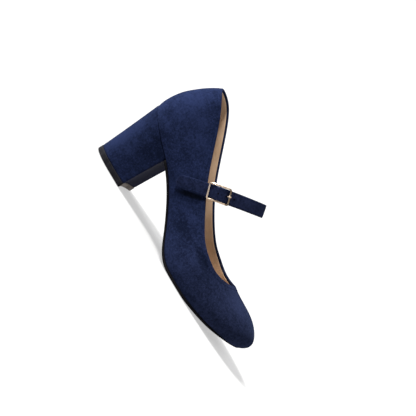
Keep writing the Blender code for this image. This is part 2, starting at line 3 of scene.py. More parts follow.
import bmesh
import bpy
import numpy as np
from mathutils import Matrix, Vector


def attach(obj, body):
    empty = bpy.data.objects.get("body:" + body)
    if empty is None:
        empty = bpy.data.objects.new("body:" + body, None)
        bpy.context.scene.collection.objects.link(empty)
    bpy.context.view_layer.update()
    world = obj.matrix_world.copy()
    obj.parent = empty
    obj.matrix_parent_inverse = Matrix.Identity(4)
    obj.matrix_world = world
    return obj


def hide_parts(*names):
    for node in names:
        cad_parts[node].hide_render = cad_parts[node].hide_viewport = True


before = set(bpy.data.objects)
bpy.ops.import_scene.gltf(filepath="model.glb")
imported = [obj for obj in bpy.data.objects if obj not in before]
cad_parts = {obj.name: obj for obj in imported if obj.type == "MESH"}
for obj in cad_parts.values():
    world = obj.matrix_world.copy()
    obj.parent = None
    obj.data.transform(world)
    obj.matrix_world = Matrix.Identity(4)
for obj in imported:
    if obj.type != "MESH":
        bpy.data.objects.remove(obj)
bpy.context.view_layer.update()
mm = 0.001  # the tables and sizes below are in millimetres
mergeWithin = 1e-7  # in metres
quarterTurn = math.pi / 2

# The shoe's last, as in the CAD: "along" runs from the back of the shoe to the toe, and the outer side is -Y.
shoe = {
    "originAt": 28.0,  # station of the frame's origin
    "length": 232.0,
    "heelCentre": 29.0,
    "ballCentre": 152.0,
    "toeRoundness": 2.15,
    "toeDrift": 5.0,
    "fullness": 2.2,
    "springHeel": 1.8,
    "springToe": 2.0,
    "springFrom": 60.0,
    "lean": 10.2,
    "leanHeight": 50.0,
    "leanPower": 2.3,
    "leanReach": 95.0,
    "treadEase": 0.5,
    "soleThick": 2.4,
    "gap": 0.3,
    "wall": 2.0,
    "columns": ("along", "tread", "rise", "tuckOut", "tuckIn", "crown", "topline"),
    "rows": (
        (0.0, 67.8, 7.4, 0.7, 0.7, 90.0, 132.6),
        (29.0, 55.4, 11.0, 1.8, 1.8, 88.0, 123.0),
        (60.0, 44.4, 11.5, 2.6, 3.4, 74.0, 98.7),
        (89.0, 27.6, 11.5, 3.0, 4.6, 66.0, 72.6),
        (107.0, 14.8, 11.0, 3.0, 4.6, 64.0, 59.6),
        (122.0, 4.8, 10.5, 2.6, 3.8, 63.0, 50.2),
        (134.0, 0.6, 10.0, 2.4, 3.0, 61.0, 44.0),
        (149.0, -0.7, 9.6, 2.2, 2.4, 52.0, 39.7),
        (162.0, -0.5, 9.2, 2.0, 2.0, 39.0, 38.0),
        (176.0, 1.0, 8.6, 2.0, 2.0, 30.8, 40.6),
        (190.0, 3.0, 8.0, 2.0, 2.0, 29.0, 48.0),
        (205.0, 6.0, 7.4, 2.0, 2.0, 29.6, 58.0),
        (218.0, 9.0, 7.2, 2.4, 2.4, 29.4, 68.0),
        (232.0, 12.9, 7.5, 4.5, 4.5, 25.5, 80.0),
    ),
    "waistColumns": ("along", "outer", "inner", "spine"),
    "waistRows": (
        (29.0, 28.5, 28.0, 0.0),
        (55.0, 28.2, 27.0, -0.5),
        (82.0, 28.4, 25.4, -0.8),
        (105.0, 32.0, 25.2, 0.2),
        (128.0, 39.4, 29.9, 1.6),
        (152.0, 43.5, 34.4, 3.0),
    ),
    "finePoints": 4000,
    "edgePoints": 1200,
    "bisections": 40,
    "rowCrowding": 1.5,  # rows lie closer together just above the widest line
}


def smoothstep(value, low, high):
    # 3x^2 - 2x^3 of the share between low and high
    share = np.clip((value - low) / (high - low), 0.0, 1.0)
    return share * share * (3 - 2 * share)


def bell(value, middle, spread):
    # exp of minus half the squared distance in spreads
    return np.exp(-0.5 * ((value - middle) / spread) ** 2)


def unit(vectors):
    # divided by their lengths
    return vectors / np.linalg.norm(vectors, axis=-1, keepdims=True)


def runOf(path):
    # length run along a path
    return join([0.0], np.cumsum(np.linalg.norm(np.diff(path, axis=0), axis=1)))


def pathAt(at, run, path):
    # a path's points where these lengths have been run
    return np.stack([np.interp(at, run, column) for column in path.T], axis=-1)


def join(*parts):
    return np.concatenate(parts)


def circle(count):
    # cosines and sines of equal steps of a turn
    turn = np.arange(count) * 2 * math.pi / count
    return np.cos(turn), np.sin(turn)


def spline(at, knots, values, levelEnds=False):
    # cubic spline through the knots, held beyond them: bends solved so that slopes agree,
    # free or level at the ends
    at, knots, values = (np.asarray(a, float) for a in (at, knots, values))
    gaps = np.diff(knots)
    slopes = np.diff(values) / gaps
    count = len(knots)
    system = np.eye(count)
    right = np.zeros(count)
    for row in range(1, count - 1):
        system[row, row - 1 : row + 2] = gaps[row - 1], 2 * (gaps[row - 1] + gaps[row]), gaps[row]
        right[row] = 6 * (slopes[row] - slopes[row - 1])
    if levelEnds:
        system[0, :2] = 2 * gaps[0], gaps[0]
        system[-1, -2:] = gaps[-1], 2 * gaps[-1]
        right[0], right[-1] = 6 * slopes[0], -6 * slopes[-1]
    bends = np.linalg.solve(system, right)
    cell = np.clip(np.searchsorted(knots, at, side="right") - 1, 0, count - 2)
    near = np.clip((at - knots[cell]) / gaps[cell], 0.0, 1.0)
    far = 1 - near
    curve = (far**3 - far) * bends[cell] + (near**3 - near) * bends[cell + 1]
    return far * values[cell] + near * values[cell + 1] + curve * gaps[cell] ** 2 / 6


def lastAt(name, along):
    # one column of the last's table, by its spline
    columns = list(zip(*shoe["rows"]))
    return spline(along, columns[0], columns[shoe["columns"].index(name)])


def waistAt(name, along):
    columns = list(zip(*shoe["waistRows"]))
    return spline(along, columns[0], columns[shoe["waistColumns"].index(name)], levelEnds=True)


def tread(along):
    # flat on the floor at the ball, eased in and out: half of t + sqrt(t^2 + s^2)
    low = lastAt("tread", along)
    return 0.5 * (low + np.hypot(low, shoe["treadEase"]))


def feather(along):
    # the tread plus the sole and its gap
    return tread(along) + shoe["soleThick"] + shoe["gap"]


def toeShare(along):
    # share of the way from the ball to the toe
    ball = shoe["ballCentre"]
    return np.clip((along - ball) / (shoe["length"] - ball), 0.0, 1.0)


def halfWidth(along, side):
    # waist width times the heel's ellipse times the toe's superellipse
    wide = np.where(np.asarray(side) < 0, waistAt("outer", along), waistAt("inner", along))
    back = np.clip((shoe["heelCentre"] - along) / shoe["heelCentre"], 0.0, 1.0)
    power = shoe["toeRoundness"]
    return wide * np.sqrt(1 - back**2) * (1 - toeShare(along) ** power) ** (1 / power)


def spine(along):
    # middle of the waist, drifting inwards with the square of the toe's share
    return waistAt("spine", along) + shoe["toeDrift"] * toeShare(along) ** 2


def ringRays(count):
    # the widest line, evenly divided by arc length from the back round the outer side, with its spine points
    fine = shoe["finePoints"]
    along = shoe["length"] * (0.5 - 0.5 * np.cos(np.linspace(0.0, math.pi, fine)))
    sides = [np.stack([along, spine(along) + s * halfWidth(along, s)], axis=1) for s in (-1, 1)]
    loop = join(sides[0], sides[1][::-1][1:])
    length = runOf(loop)
    half = length[fine - 1]
    share = np.arange(count // 2 + 1) / (count // 2)
    wanted = join(half * share, half + (length[-1] - half) * share[1:-1])
    points = pathAt(wanted, length, loop)
    side = np.where(wanted <= half, -1.0, 1.0)
    facing = np.clip(points[:, 0], shoe["heelCentre"], shoe["ballCentre"])
    return points, np.stack([facing, spine(facing)], axis=1), side


def heelLean(along, up):
    # lean (up / height)^p, fading forwards by a square
    fade = np.clip(1 - along / shoe["leanReach"], 0.0, 1.0) ** 2
    return shoe["lean"] * fade * (np.maximum(up, 0.0) / shoe["leanHeight"]) ** shoe["leanPower"]


def sectionSpring(along):
    # the dome's power, linear from heel to ball
    ends = (shoe["springFrom"], shoe["ballCentre"])
    return np.interp(along, ends, (shoe["springHeel"], shoe["springToe"]))


def dome(points, centres, reach):
    # superellipse arch over the plan: height = rise + crown (1 - reach^m)^(1/k), leaning forward at the heel
    plan = centres + reach[..., None] * (points - centres)
    along = np.clip(plan[..., 0], 0.0, shoe["length"])
    arch = np.clip(1 - reach ** shoe["fullness"], 0.0, 1.0) ** (1 / sectionSpring(along))
    up = lastAt("rise", along) + lastAt("crown", along) * arch
    return np.stack([along + heelLean(along, up), plan[..., 1], feather(along) + up], axis=-1)


def toplineReach(points, centres, drop):
    # bisection for the reach where the dome stands at the topline less the drop
    low, high = np.zeros(len(points)), np.ones(len(points))
    for _ in range(shoe["bisections"]):
        middle = (low + high) / 2
        surface = dome(points, centres, middle)
        above = surface[:, 2] > lastAt("topline", surface[:, 0]) - drop
        low, high = np.where(above, middle, low), np.where(above, high, middle)
    return (low + high) / 2


def tuckStep(points, centres, side):
    # unit step to the spine times the tuck
    depth = np.where(side < 0, lastAt("tuckOut", points[:, 0]), lastAt("tuckIn", points[:, 0]))
    return unit(centres - points) * depth[:, None]


def featherLoop(beyond):
    # the feather edge in plan, moved outwards along its rays
    points, centres, side = ringRays(shoe["edgePoints"])
    return points + tuckStep(points, centres, side) + unit(points - centres) * beyond


def featherSides(along, beyond, other, share):
    # both sides of the feather edge, moved outwards by one distance and, by the share, by another
    edges = []
    half = shoe["edgePoints"] // 2
    for distance in (beyond, other):
        edge = featherLoop(distance)
        runs = edge[: half + 1], join(edge[half:], edge[:1])[::-1]
        edges.append([np.interp(along, run[:, 0], run[:, 1]) for run in runs])
    return [first * (1 - share) + second * share for first, second in zip(*edges)]


def quarterSide(along, height, side):
    # the dome turned round: its place across the shoe at a point of the side view
    up = np.clip(height - feather(along) - lastAt("rise", along), 0.0, None)
    arch = (up / lastAt("crown", along)) ** sectionSpring(along)
    reach = np.clip(1 - arch, 0.0, 1.0) ** (1 / shoe["fullness"])
    return spine(along) + side * halfWidth(along, side) * reach


def capped(grid):
    # a grid with both its end rows closed to their middles
    first, last = (np.broadcast_to(row.mean(axis=0), row.shape)[None] for row in (grid[0], grid[-1]))
    return join(first, grid, last)


def runLength(grid, axis):
    # mean length run along one direction of a grid
    steps = np.linalg.norm(np.diff(grid, axis=axis), axis=-1).mean(axis=1 - axis)
    return join([0.0], np.cumsum(steps))


def gridNormals(grid):
    # cross product of the two grid directions, the columns closed into a ring
    across = np.roll(grid, -1, axis=1) - np.roll(grid, 1, axis=1)
    normal = np.cross(across, np.gradient(grid, axis=0))
    return normal / np.maximum(np.linalg.norm(normal, axis=-1, keepdims=True), 1e-9)


def ringFaces(rows, columns):
    # rows, columns and corners of the quads of a grid whose columns close into a ring
    i, k = np.meshgrid(np.arange(rows - 1), np.arange(columns), indexing="ij")
    ahead = (k + 1) % columns
    return i, k, np.stack([i, i, i + 1, i + 1], axis=-1) * columns + np.stack([k, ahead, ahead, k], axis=-1)


def placed(name, data):
    made = bpy.data.objects.new(name, data)
    bpy.context.scene.collection.objects.link(made)
    return made


def newMesh(name, points, faces, materials):
    # points in millimetres from the back of the shoe become metres from the frame's origin
    mesh = bpy.data.meshes.new(name)
    place = points.reshape(-1, 3) - np.array([shoe["originAt"], 0.0, 0.0])
    mesh.from_pydata((place * mm).tolist(), [], faces.reshape(-1, 4).tolist())
    for material in materials:
        mesh.materials.append(material)
    return mesh


def newPiece(mesh, slot, *nodes, turnOut=False):
    # a smooth piece with its doubles merged, which rides on the shoe and may stand for CAD nodes
    work = bmesh.new()
    work.from_mesh(mesh)
    bmesh.ops.remove_doubles(work, verts=work.verts, dist=mergeWithin)
    if turnOut:
        bmesh.ops.recalc_face_normals(work, faces=work.faces)
    work.to_mesh(mesh)
    work.free()
    mesh.shade_smooth()
    piece = placed(mesh.name, mesh)
    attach(piece, "root")
    if nodes:
        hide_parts(*nodes)


def gridPiece(name, grid, materials, slot, *nodes, finishOf=None, flip=False):
    # quads between rows and columns of a grid in millimetres, with a UV map of lengths in metres
    i, k, faces = ringFaces(*grid.shape[:2])
    closed = np.concatenate([grid, grid[:, :1]], axis=1)
    around, upward = runLength(closed, 1) * mm, runLength(closed, 0) * mm
    corners = np.stack([k, k + 1, k + 1, k], axis=-1), np.stack([i, i, i + 1, i + 1], axis=-1)
    uv = np.stack([around[corners[0]], upward[corners[1]]], axis=-1)
    if flip:
        faces, uv = faces[..., ::-1], uv[:, :, ::-1]
    mesh = newMesh(name, grid, faces, materials)
    mesh.uv_layers.new(name="lengths").data.foreach_set("uv", uv.astype(np.float32).ravel())
    if finishOf is not None:
        mesh.polygons.foreach_set("material_index", finishOf(i, k).astype(np.int32).ravel())
    newPiece(mesh, slot, *nodes)


class Wire:
    # a socket that takes part in sums; each operator adds one Math node
    def __init__(self, bench, socket):
        self.bench, self.socket = bench, socket

    def __add__(self, other):
        return self.bench.maths("ADD", self, other)

    def __sub__(self, other):
        return self.bench.maths("SUBTRACT", self, other)

    def __mul__(self, other):
        return self.bench.maths("MULTIPLY", self, other)

    def __rsub__(self, other):
        return self.bench.maths("SUBTRACT", other, self)

    __radd__ = __add__
    __rmul__ = __mul__


class Bench:
    # a node tree and the ways to add to it
    def __init__(self, tree):
        self.tree = tree

    def node(self, kind, settings, values, out=0):
        made = self.tree.nodes.new(kind)
        for key, value in settings.items():
            setattr(made, key, value)
        for key, value in values.items():
            if isinstance(value, Wire):
                self.tree.links.new(value.socket, made.inputs[key])
            else:
                made.inputs[key].default_value = value
        return Wire(self, made.outputs[out])

    def maths(self, operation, *values):
        return self.node("ShaderNodeMath", {"operation": operation}, dict(enumerate(values)))

    def measure(self, operation, *vectors):
        # one number from vectors, such as a length
        return self.node("ShaderNodeVectorMath", {"operation": operation}, dict(enumerate(vectors)), "Value")

    def turned(self, vector, scale, turn=(0, 0, 0)):
        return self.node("ShaderNodeMapping", {}, {"Vector": vector, "Scale": scale, "Rotation": turn})

    def away(self, vector, middle, reach, slope=0.0):
        # distance from a spot's middle, in its reaches, which slope about Y
        values = {"Vector": vector, "Rotation": (0.0, -slope, 0.0)}
        values["Location"], values["Scale"] = (tuple(v * mm for v in sizes) for sizes in (middle, reach))
        return self.measure("LENGTH", self.node("ShaderNodeMapping", {"vector_type": "TEXTURE"}, values))

    def noise(self, vector, scale, detail, roughness=0.55, distortion=0.0):
        values = {"Vector": vector, "Scale": scale, "Detail": detail, "Roughness": roughness}
        return self.node("ShaderNodeTexNoise", {}, {**values, "Distortion": distortion})

    def part(self, vector, out):
        return self.node("ShaderNodeSeparateXYZ", {}, {"Vector": vector}, out)

    def between(self, value, low, high):
        # smooth 0 to 1 as the value goes from low to high
        settings = {"interpolation_type": "SMOOTHSTEP"}
        return self.node("ShaderNodeMapRange", settings, {0: value, 1: low, 2: high})

    def mix(self, factor, first, second, blend="MIX"):
        settings = {"data_type": "RGBA", "blend_type": blend}
        pick = lambda colour: colour if isinstance(colour, Wire) else (*colour, 1.0)
        return self.node("ShaderNodeMix", settings, {0: factor, 6: pick(first), 7: pick(second)}, 2)

    def bump(self, height, distance, strength):
        return self.node("ShaderNodeBump", {}, {"Height": height, "Distance": distance, "Strength": strength})


class Finish(Bench):
    # one material round its Principled shader; the same-all-over values are set on the shader itself
    def __init__(self, name, **constants):
        self.material = bpy.data.materials.new(name)
        self.material.use_nodes = True
        super().__init__(self.material.node_tree)
        self.shader = self.tree.nodes["Principled BSDF"]
        self.place = self.node("ShaderNodeTexCoord", {}, {}, "Object")
        for socket, value in constants.items():
            self.shader.inputs[socket.replace("_", " ")].default_value = value

    def feed(self, **links):
        for socket, wire in links.items():
            self.tree.links.new(wire.socket, self.shader.inputs[socket.replace("_", " ")])
        return self.material


suedeLook = {
    "dark": (0.0036, 0.0059, 0.0172),
    "light": (0.0116, 0.0178, 0.0520),
    "fibre": (0.0215, 0.0298, 0.0775),
    "sheen": (0.38, 0.50, 1.0, 1.0),
    "dust": (1.10, 0.98, 0.84),  # what the colour is worn to towards the toe
    "dustRange": (0.04, 0.18),  # metres from the frame's origin
    "patch": 55.0,  # patches, brush marks, grain and fibres to the metre
    "brush": 175.0,
    "grain": 520.0,
    "fibreScale": 2300.0,
    "shares": (0.13, 0.24, 0.36, 0.27),  # of those four in the nap's height
    "toneRange": (0.36, 0.63),
    "speckRange": (0.5, 0.7),
    "speckGain": 0.42,
    "fibreDepth": 0.00018,
    "markGain": 0.16,
    "markRange": (1.35, 0.35),  # in reaches, from where a patch of painted light or shade, or a dark patch, starts to where it is full
    "darkPatchRange": (1.25, 0.55),
    "darkPatchSlope": math.radians(40.0),
}

# Painted light (+) and painted shade (-) on the upper, laid into the nap's tone: middle, reach and amount,
# from the frame's origin.
upperLightAndShade = (
    ((-8.0, -24.0, 96.0), (30.0, 18.0, 22.0), 0.50),
    ((13.0, -26.0, 99.0), (7.0, 8.0, 9.0), 0.30),
    ((29.0, -28.0, 56.0), (17.0, 12.0, 14.0), -0.25),
    ((84.0, -33.0, 34.0), (18.0, 10.0, 12.0), -0.75),
    ((24.0, -28.0, 86.0), (14.0, 10.0, 10.0), 0.22),
    ((118.0, -36.0, 34.0), (14.0, 12.0, 5.0), -0.70),
    ((130.0, -34.0, 29.5), (10.0, 12.0, 4.5), -0.50),
    ((109.0, -39.0, 10.0), (22.0, 10.0, 7.0), 0.15),
    ((168.0, -14.0, 36.0), (17.0, 15.0, 11.0), 0.60),
    ((178.0, -28.0, 14.0), (24.0, 14.0, 8.0), -0.10),
    ((62.0, 26.0, 40.0), (20.0, 12.0, 14.0), -0.40),
    ((0.0, 27.0, 94.0), (18.0, 12.0, 16.0), 0.35),
    ((150.0, 25.0, 27.0), (20.0, 14.0, 8.0), 0.35),
)
# Painted light (+) and painted shade (-) on the heel, the same way: a lit patch at the back, shade along the
# seam.
heelLightAndShade = (
    ((-19.0, -17.0, 24.0), (11.0, 16.0, 22.0), 0.85),
    ((-18.0, -18.0, 46.0), (10.0, 14.0, 14.0), 0.35),
    ((9.0, -26.0, 38.0), (15.0, 12.0, 26.0), -0.38),
    ((8.0, -27.0, 53.5), (9.0, 12.0, 5.5), -0.70),
    ((17.0, -27.0, 50.0), (9.0, 12.0, 6.0), -0.90),
    ((4.0, 26.0, 30.0), (18.0, 12.0, 16.0), -0.35),
    ((-22.0, 12.0, 40.0), (10.0, 12.0, 18.0), 0.40),
)

# Dark patches laid along the strap's slope: middle, reach and the colour that the suede is multiplied by. On
# the upper it is a painted shadow under the strap's tail; on the strap it darkens the tail.
upperPaintedShadow = (((63.7, -33.0, 54.6), (19.0, 14.0, 3.6), (0.32, 0.29, 0.22)),)
strapTailDarker = (((56.0, -36.0, 58.2), (16.0, 14.0, 5.2), (0.80, 0.81, 0.82)),)


def suedeFinish(name, shade=(1.0, 1.0, 1.0), nap=0.3, marks=(), darkPatches=()):
    # nap brushed in patches and streaks, over a grain and short fibres that lie along the nap
    dark, light, fibreColour = (
        tuple(s * c for s, c in zip(shade, suedeLook[key])) for key in ("dark", "light", "fibre")
    )
    sheen = {"Sheen_Weight": 0.05, "Sheen_Roughness": 0.5, "Sheen_Tint": suedeLook["sheen"]}
    finish = Finish(name, Specular_IOR_Level=0.0, **sheen)
    place = finish.place
    laid = finish.turned(place, (0.36, 1.0, 1.0), (0.0, nap, 0.0))
    patch = finish.noise(place, suedeLook["patch"], 3.0, 0.55, 0.6)
    brush = finish.noise(laid, suedeLook["brush"], 4.0, 0.62, 0.5)
    grain = finish.noise(place, suedeLook["grain"], 3.0, 0.65)
    fibre = finish.noise(laid, suedeLook["fibreScale"], 2.0, 0.6, 0.3)
    shares = suedeLook["shares"]
    height = patch * shares[0] + brush * shares[1] + grain * shares[2] + fibre * shares[3]
    # painted light (+) and painted shade (-), raised and lowered in the nap's height
    for middle, reach, amount in marks:
        near = finish.between(finish.away(place, middle, reach) + brush * 0.5, *suedeLook["markRange"])
        height = height + near * (amount * suedeLook["markGain"])
    tone = finish.between(height, *suedeLook["toneRange"])
    colour = finish.mix(tone, dark, light)
    speck = finish.between(fibre * 0.5 + grain * 0.5, *suedeLook["speckRange"]) * suedeLook["speckGain"]
    colour = finish.mix(speck, colour, fibreColour)
    worn = finish.between(finish.part(place, "X"), *suedeLook["dustRange"])
    colour = finish.mix(worn, colour, suedeLook["dust"], "MULTIPLY")
    # dark patches multiplied into the colour; the upper's is a painted shadow under the strap's tail
    for middle, reach, darkenedTo in darkPatches:
        away = finish.away(place, middle, reach, suedeLook["darkPatchSlope"])
        near = finish.between(away + brush * 0.3, *suedeLook["darkPatchRange"])
        colour = finish.mix(near, colour, darkenedTo, "MULTIPLY")
    bump = finish.bump(grain * 0.45 + fibre * 0.55, suedeLook["fibreDepth"], 0.9)
    return finish.feed(Base_Color=colour, Roughness=0.84 + tone * 0.12, Normal=bump)


def leatherFinish(name, dark, light, roughness, gloss, grainScale, depth):
    # smooth leather: faint cloudy tone, pores from cell edges and a finer grain
    finish = Finish(name, Specular_IOR_Level=gloss)
    place = finish.place
    cloud = finish.noise(place, 45.0, 3.0, 0.55, 0.4)
    edges = {"feature": "DISTANCE_TO_EDGE"}
    pores = finish.node("ShaderNodeTexVoronoi", edges, {"Vector": place, "Scale": grainScale})
    fine = finish.noise(place, grainScale * 2.2, 2.0)
    colour = finish.mix(finish.between(cloud * 0.8 + fine * 0.2, 0.35, 0.65), dark, light)
    rough = roughness + cloud * 0.12 - pores * 0.1
    bump = finish.bump(finish.between(pores, 0.0, 0.25) * 0.7 + fine * 0.3, depth, 0.7)
    return finish.feed(Base_Color=colour, Roughness=rough, Normal=bump)


def rubberFinish(name, dark, light, roughness, gloss, grainScale, depth):
    # moulded rubber: dusty lighter veil, fine pebble
    finish = Finish(name, Specular_IOR_Level=gloss)
    place = finish.place
    veil = finish.noise(place, 90.0, 4.0, 0.6, 0.3)
    pebble = finish.noise(place, grainScale, 2.0, 0.6)
    colour = finish.mix(finish.between(veil * 0.7 + pebble * 0.3, 0.38, 0.66), dark, light)
    bump = finish.bump(pebble, depth, 0.7)
    return finish.feed(Base_Color=colour, Roughness=roughness + veil * 0.15, Normal=bump)


def treadFinish(name, dark, light, pitch, depth):
    # fine ribs across the walking face, softened by wear
    finish = Finish(name, Specular_IOR_Level=0.15)
    place = finish.place
    scuff = finish.noise(finish.turned(place, (0.3, 1.0, 1.0)), 240.0, 4.0, 0.65)
    rib = finish.maths("SINE", finish.part(place, "X") * (2 * math.pi / (pitch * mm)))
    colour = finish.mix(finish.between(scuff * 0.8 + rib * 0.06, 0.4, 0.68), dark, light)
    bump = finish.bump(rib * 0.5 + scuff * 0.3, depth, 0.8)
    return finish.feed(Base_Color=colour, Roughness=0.55 + scuff * 0.2, Normal=bump)


goldLook = {
    "dark": (0.67, 0.49, 0.35),
    "light": (0.87, 0.71, 0.55),
    "rearBarPaintedReflection": (0.64, 0.65, 0.70),  # painted dark reflections: the frame's end bars are darkened along the strap, the front one most
    "frontBarPaintedReflection": (0.31, 0.30, 0.28),
    "strapWay": (0.779, 0.0, 0.627),
    "frameMiddle": 0.1057,  # metres along that way from the frame's origin
    "barFrom": 0.0080,
    "barTo": 0.0094,
}


def goldFinish(name, paintedReflections=False):
    # pale polished plate, slightly cloudy, with faint rub marks
    finish = Finish(name, Metallic=1.0)
    place = finish.place
    cloud = finish.noise(place, 260.0, 3.0, 0.6)
    rub = finish.noise(finish.turned(place, (1.0, 1.0, 5.0), (0.0, 0.7, 0.0)), 2600.0, 2.0)
    colour = finish.mix(finish.between(cloud, 0.3, 0.7), goldLook["dark"], goldLook["light"])
    # the end bars darkened along the strap's way: painted dark reflections
    if paintedReflections:
        along = finish.measure("DOT_PRODUCT", place, goldLook["strapWay"]) - goldLook["frameMiddle"]
        for end, key in ((1, "frontBarPaintedReflection"), (-1, "rearBarPaintedReflection")):
            near = finish.between(along, end * goldLook["barFrom"], end * goldLook["barTo"])
            colour = finish.mix(near, colour, goldLook[key], "MULTIPLY")
    return finish.feed(Base_Color=colour, Roughness=0.14 + cloud * 0.08 + rub * 0.05)


# Leathers and rubbers: name, dark, light, roughness, gloss, grain to the metre and its depth in metres.
leatherRows = (
    ("breastLeather", (0.0066, 0.0078, 0.0240), (0.0120, 0.0140, 0.0385), 0.65, 0.02, 700.0, 0.00006),
    ("dyedEdge", (0.0068, 0.0098, 0.0260), (0.0135, 0.0190, 0.0480), 0.75, 0.0, 1800.0, 0.00006),
    ("holeShade", (0.0012, 0.0012, 0.0022), (0.0030, 0.0030, 0.0050), 0.8, 0.0, 2600.0, 0.00004),
    ("beigeLining", (0.46, 0.315, 0.205), (0.55, 0.395, 0.270), 0.5, 0.2, 1700.0, 0.00003),
    ("beigeSock", (0.48, 0.335, 0.220), (0.57, 0.415, 0.285), 0.46, 0.2, 1500.0, 0.00004),
    ("navyThread", (0.0040, 0.0070, 0.0220), (0.0105, 0.0175, 0.0480), 0.75, 0.0, 2600.0, 0.00005),
)
rubberRows = (
    ("blackSole", (0.0014, 0.0013, 0.0021), (0.0036, 0.0034, 0.0048), 0.55, 0.06, 1200.0, 0.00006),
    ("liftRubber", (0.0040, 0.0040, 0.0058), (0.0150, 0.0146, 0.0180), 0.6, 0.05, 1500.0, 0.00008),
    # the lift's front face, much lighter than its sides: painted light
    ("liftFrontLit", (0.1400, 0.1180, 0.1060), (0.2700, 0.2350, 0.2150), 0.6, 0.05, 1500.0, 0.00010),
)

suede = suedeFinish("navySuede", marks=upperLightAndShade, darkPatches=upperPaintedShadow)
# the heel's suede at 0.8 of the upper's colour: painted shade on the heel
heelSuede = suedeFinish("heelSuede", (0.80, 0.80, 0.80), 1.35, heelLightAndShade)
strapSuede = suedeFinish("strapSuede", (1.02, 0.92, 0.86), -0.68, darkPatches=strapTailDarker)
leathers = [leatherFinish(*row) for row in leatherRows]
breastLeather, dyedEdge, holeShade, liningLeather, sockLeather, threadLook = leathers
blackSole, liftRubber, liftFrontLit = (rubberFinish(*row) for row in rubberRows)
soleTread = treadFinish("soleTread", (0.0040, 0.0038, 0.0048), (0.0120, 0.0115, 0.0125), 2.4, 0.0003)
liftTread = treadFinish("liftTread", (0.0100, 0.0100, 0.0130), (0.0260, 0.0250, 0.0270), 1.8, 0.00025)
paleGold = goldFinish("paleGold")
goldPaintedReflections = goldFinish("goldPaintedReflections", True)
print("finishes made")

upper = {
    "ribs": 480,
    "below": 10,  # rows from the feather edge to the widest line
    "above": 56,
    "drop": 1.0,  # from the topline to where the rim starts
    "rimRows": 9,
    "rimRadius": 1.0,
    "foldDown": 2.2,  # suede turned over the topline to the inside
    "foldEdge": 0.2,
    "suedeThick": 0.7,
    "fleshStep": 6,  # rows left out on the suede's hidden side
    "underfold": 4.0,  # suede turned under at the feather edge
    "creaseFade": 6.0,  # rows over which creases fade at the feather edge, and at the rim
    "rimFade": 7.0,
    "creaseSide": 12.0,  # from the spine to where a crease is at its full depth
    "backSeamDepth": 0.55,
    "backSeamWidth": 0.6,
    "backSeamReach": (40.0, 20.0),
    "counterSwell": 1.3,  # fullness of the stiffened back
    "counterReach": (26.0, 4.0),
    "counterSeat": (0.65, 64.0, 86.0),  # its least share, at the seat, and the heights where it grows
    "counterCollar": (0.55, 92.0, 108.0),  # the share that it loses to the collar, and where
}
lining = {
    "ribs": 260,
    "below": 6,
    "above": 30,
    "drop": 2.4,
    "clear": 0.12,
    "backIn": 0.45,  # the hidden side lies this far inside the wall
    "backStep": 4,
    "edgeTurn": 0.35,  # of the way from the lining to the suede
}

# Soft troughs (-) and ridges (+) of the upper: along, height, depth, reach along, reach up, side.
creaseRows = (
    (156.0, 31.0, -0.80, 8.0, 2.3, -1),
    (145.0, 33.5, -0.65, 7.0, 2.3, -1),
    (151.0, 25.5, 0.45, 13.0, 3.0, -1),
    (138.0, 20.0, -0.30, 4.0, 9.0, -1),
    (147.0, 18.0, 0.25, 4.0, 9.0, -1),
    (118.0, 30.0, -0.25, 7.0, 8.0, -1),
    (60.0, 72.0, -0.30, 10.0, 10.0, -1),
    (36.0, 92.0, 0.25, 9.0, 10.0, -1),
    (152.0, 30.0, -0.40, 9.0, 3.0, 1),
    (136.0, 20.0, -0.25, 5.0, 9.0, 1),
    (60.0, 76.0, -0.25, 10.0, 9.0, 1),
)


def softCreases(grid):
    # sum of bells in the side view, each on its own side of the shoe
    x, y, z = np.moveaxis(grid, -1, 0)
    lift = np.zeros(x.shape)
    for along, height, depth, runsAlong, runsUp, side in creaseRows:
        here = smoothstep(side * (y - spine(x)), 0.0, upper["creaseSide"])
        lift += depth * here * bell(x, along, runsAlong) * bell(z, height, runsUp)
    return lift


def upperSheet(form):
    # rows from the feather edge over the widest line to the topline less a drop
    points, centres, side = ringRays(form["ribs"])
    tucked = tuckStep(points, centres, side)
    edge = toplineReach(points, centres, form["drop"])
    rise = lastAt("rise", points[:, 0])
    rows = []
    for share in np.arange(form["below"]) / form["below"]:
        plan = points + tucked * (1 - share) ** 2
        lean = heelLean(points[:, 0], rise * share)
        rows.append(np.stack([plan[:, 0] + lean, plan[:, 1], feather(plan[:, 0]) + rise * share], axis=1))
    for share in np.linspace(0.0, 1.0, form["above"] + 1) ** shoe["rowCrowding"]:
        rows.append(dome(points, centres, 1 - (1 - edge) * share))
    return np.array(rows), points, centres


def upperOuter():
    # the sheet with creases and back seam pressed in and its counter swelled, ready for its rim
    sheet, points, centres = upperSheet(upper)
    along, across, height = np.moveaxis(sheet, -1, 0)
    seam = bell(across, 0.0, upper["backSeamWidth"]) * smoothstep(along, *upper["backSeamReach"])
    lift = softCreases(sheet) - upper["backSeamDepth"] * seam
    least, *growing = upper["counterSeat"]
    lost, *fading = upper["counterCollar"]
    counter = (least + (1 - least) * smoothstep(height, *growing)) * (1 - lost * smoothstep(height, *fading))
    counter *= upper["counterSwell"] * smoothstep(along, *upper["counterReach"])
    row, last = np.arange(len(sheet)), len(sheet) - 1.0
    nearRim = smoothstep(row, last, last - upper["rimFade"])
    fade = smoothstep(row, 0.0, upper["creaseFade"]) * nearRim
    sheet = sheet + gridNormals(sheet) * (lift * fade[:, None] + counter * nearRim[:, None])[..., None]
    return sheet, gridNormals(sheet), points, centres


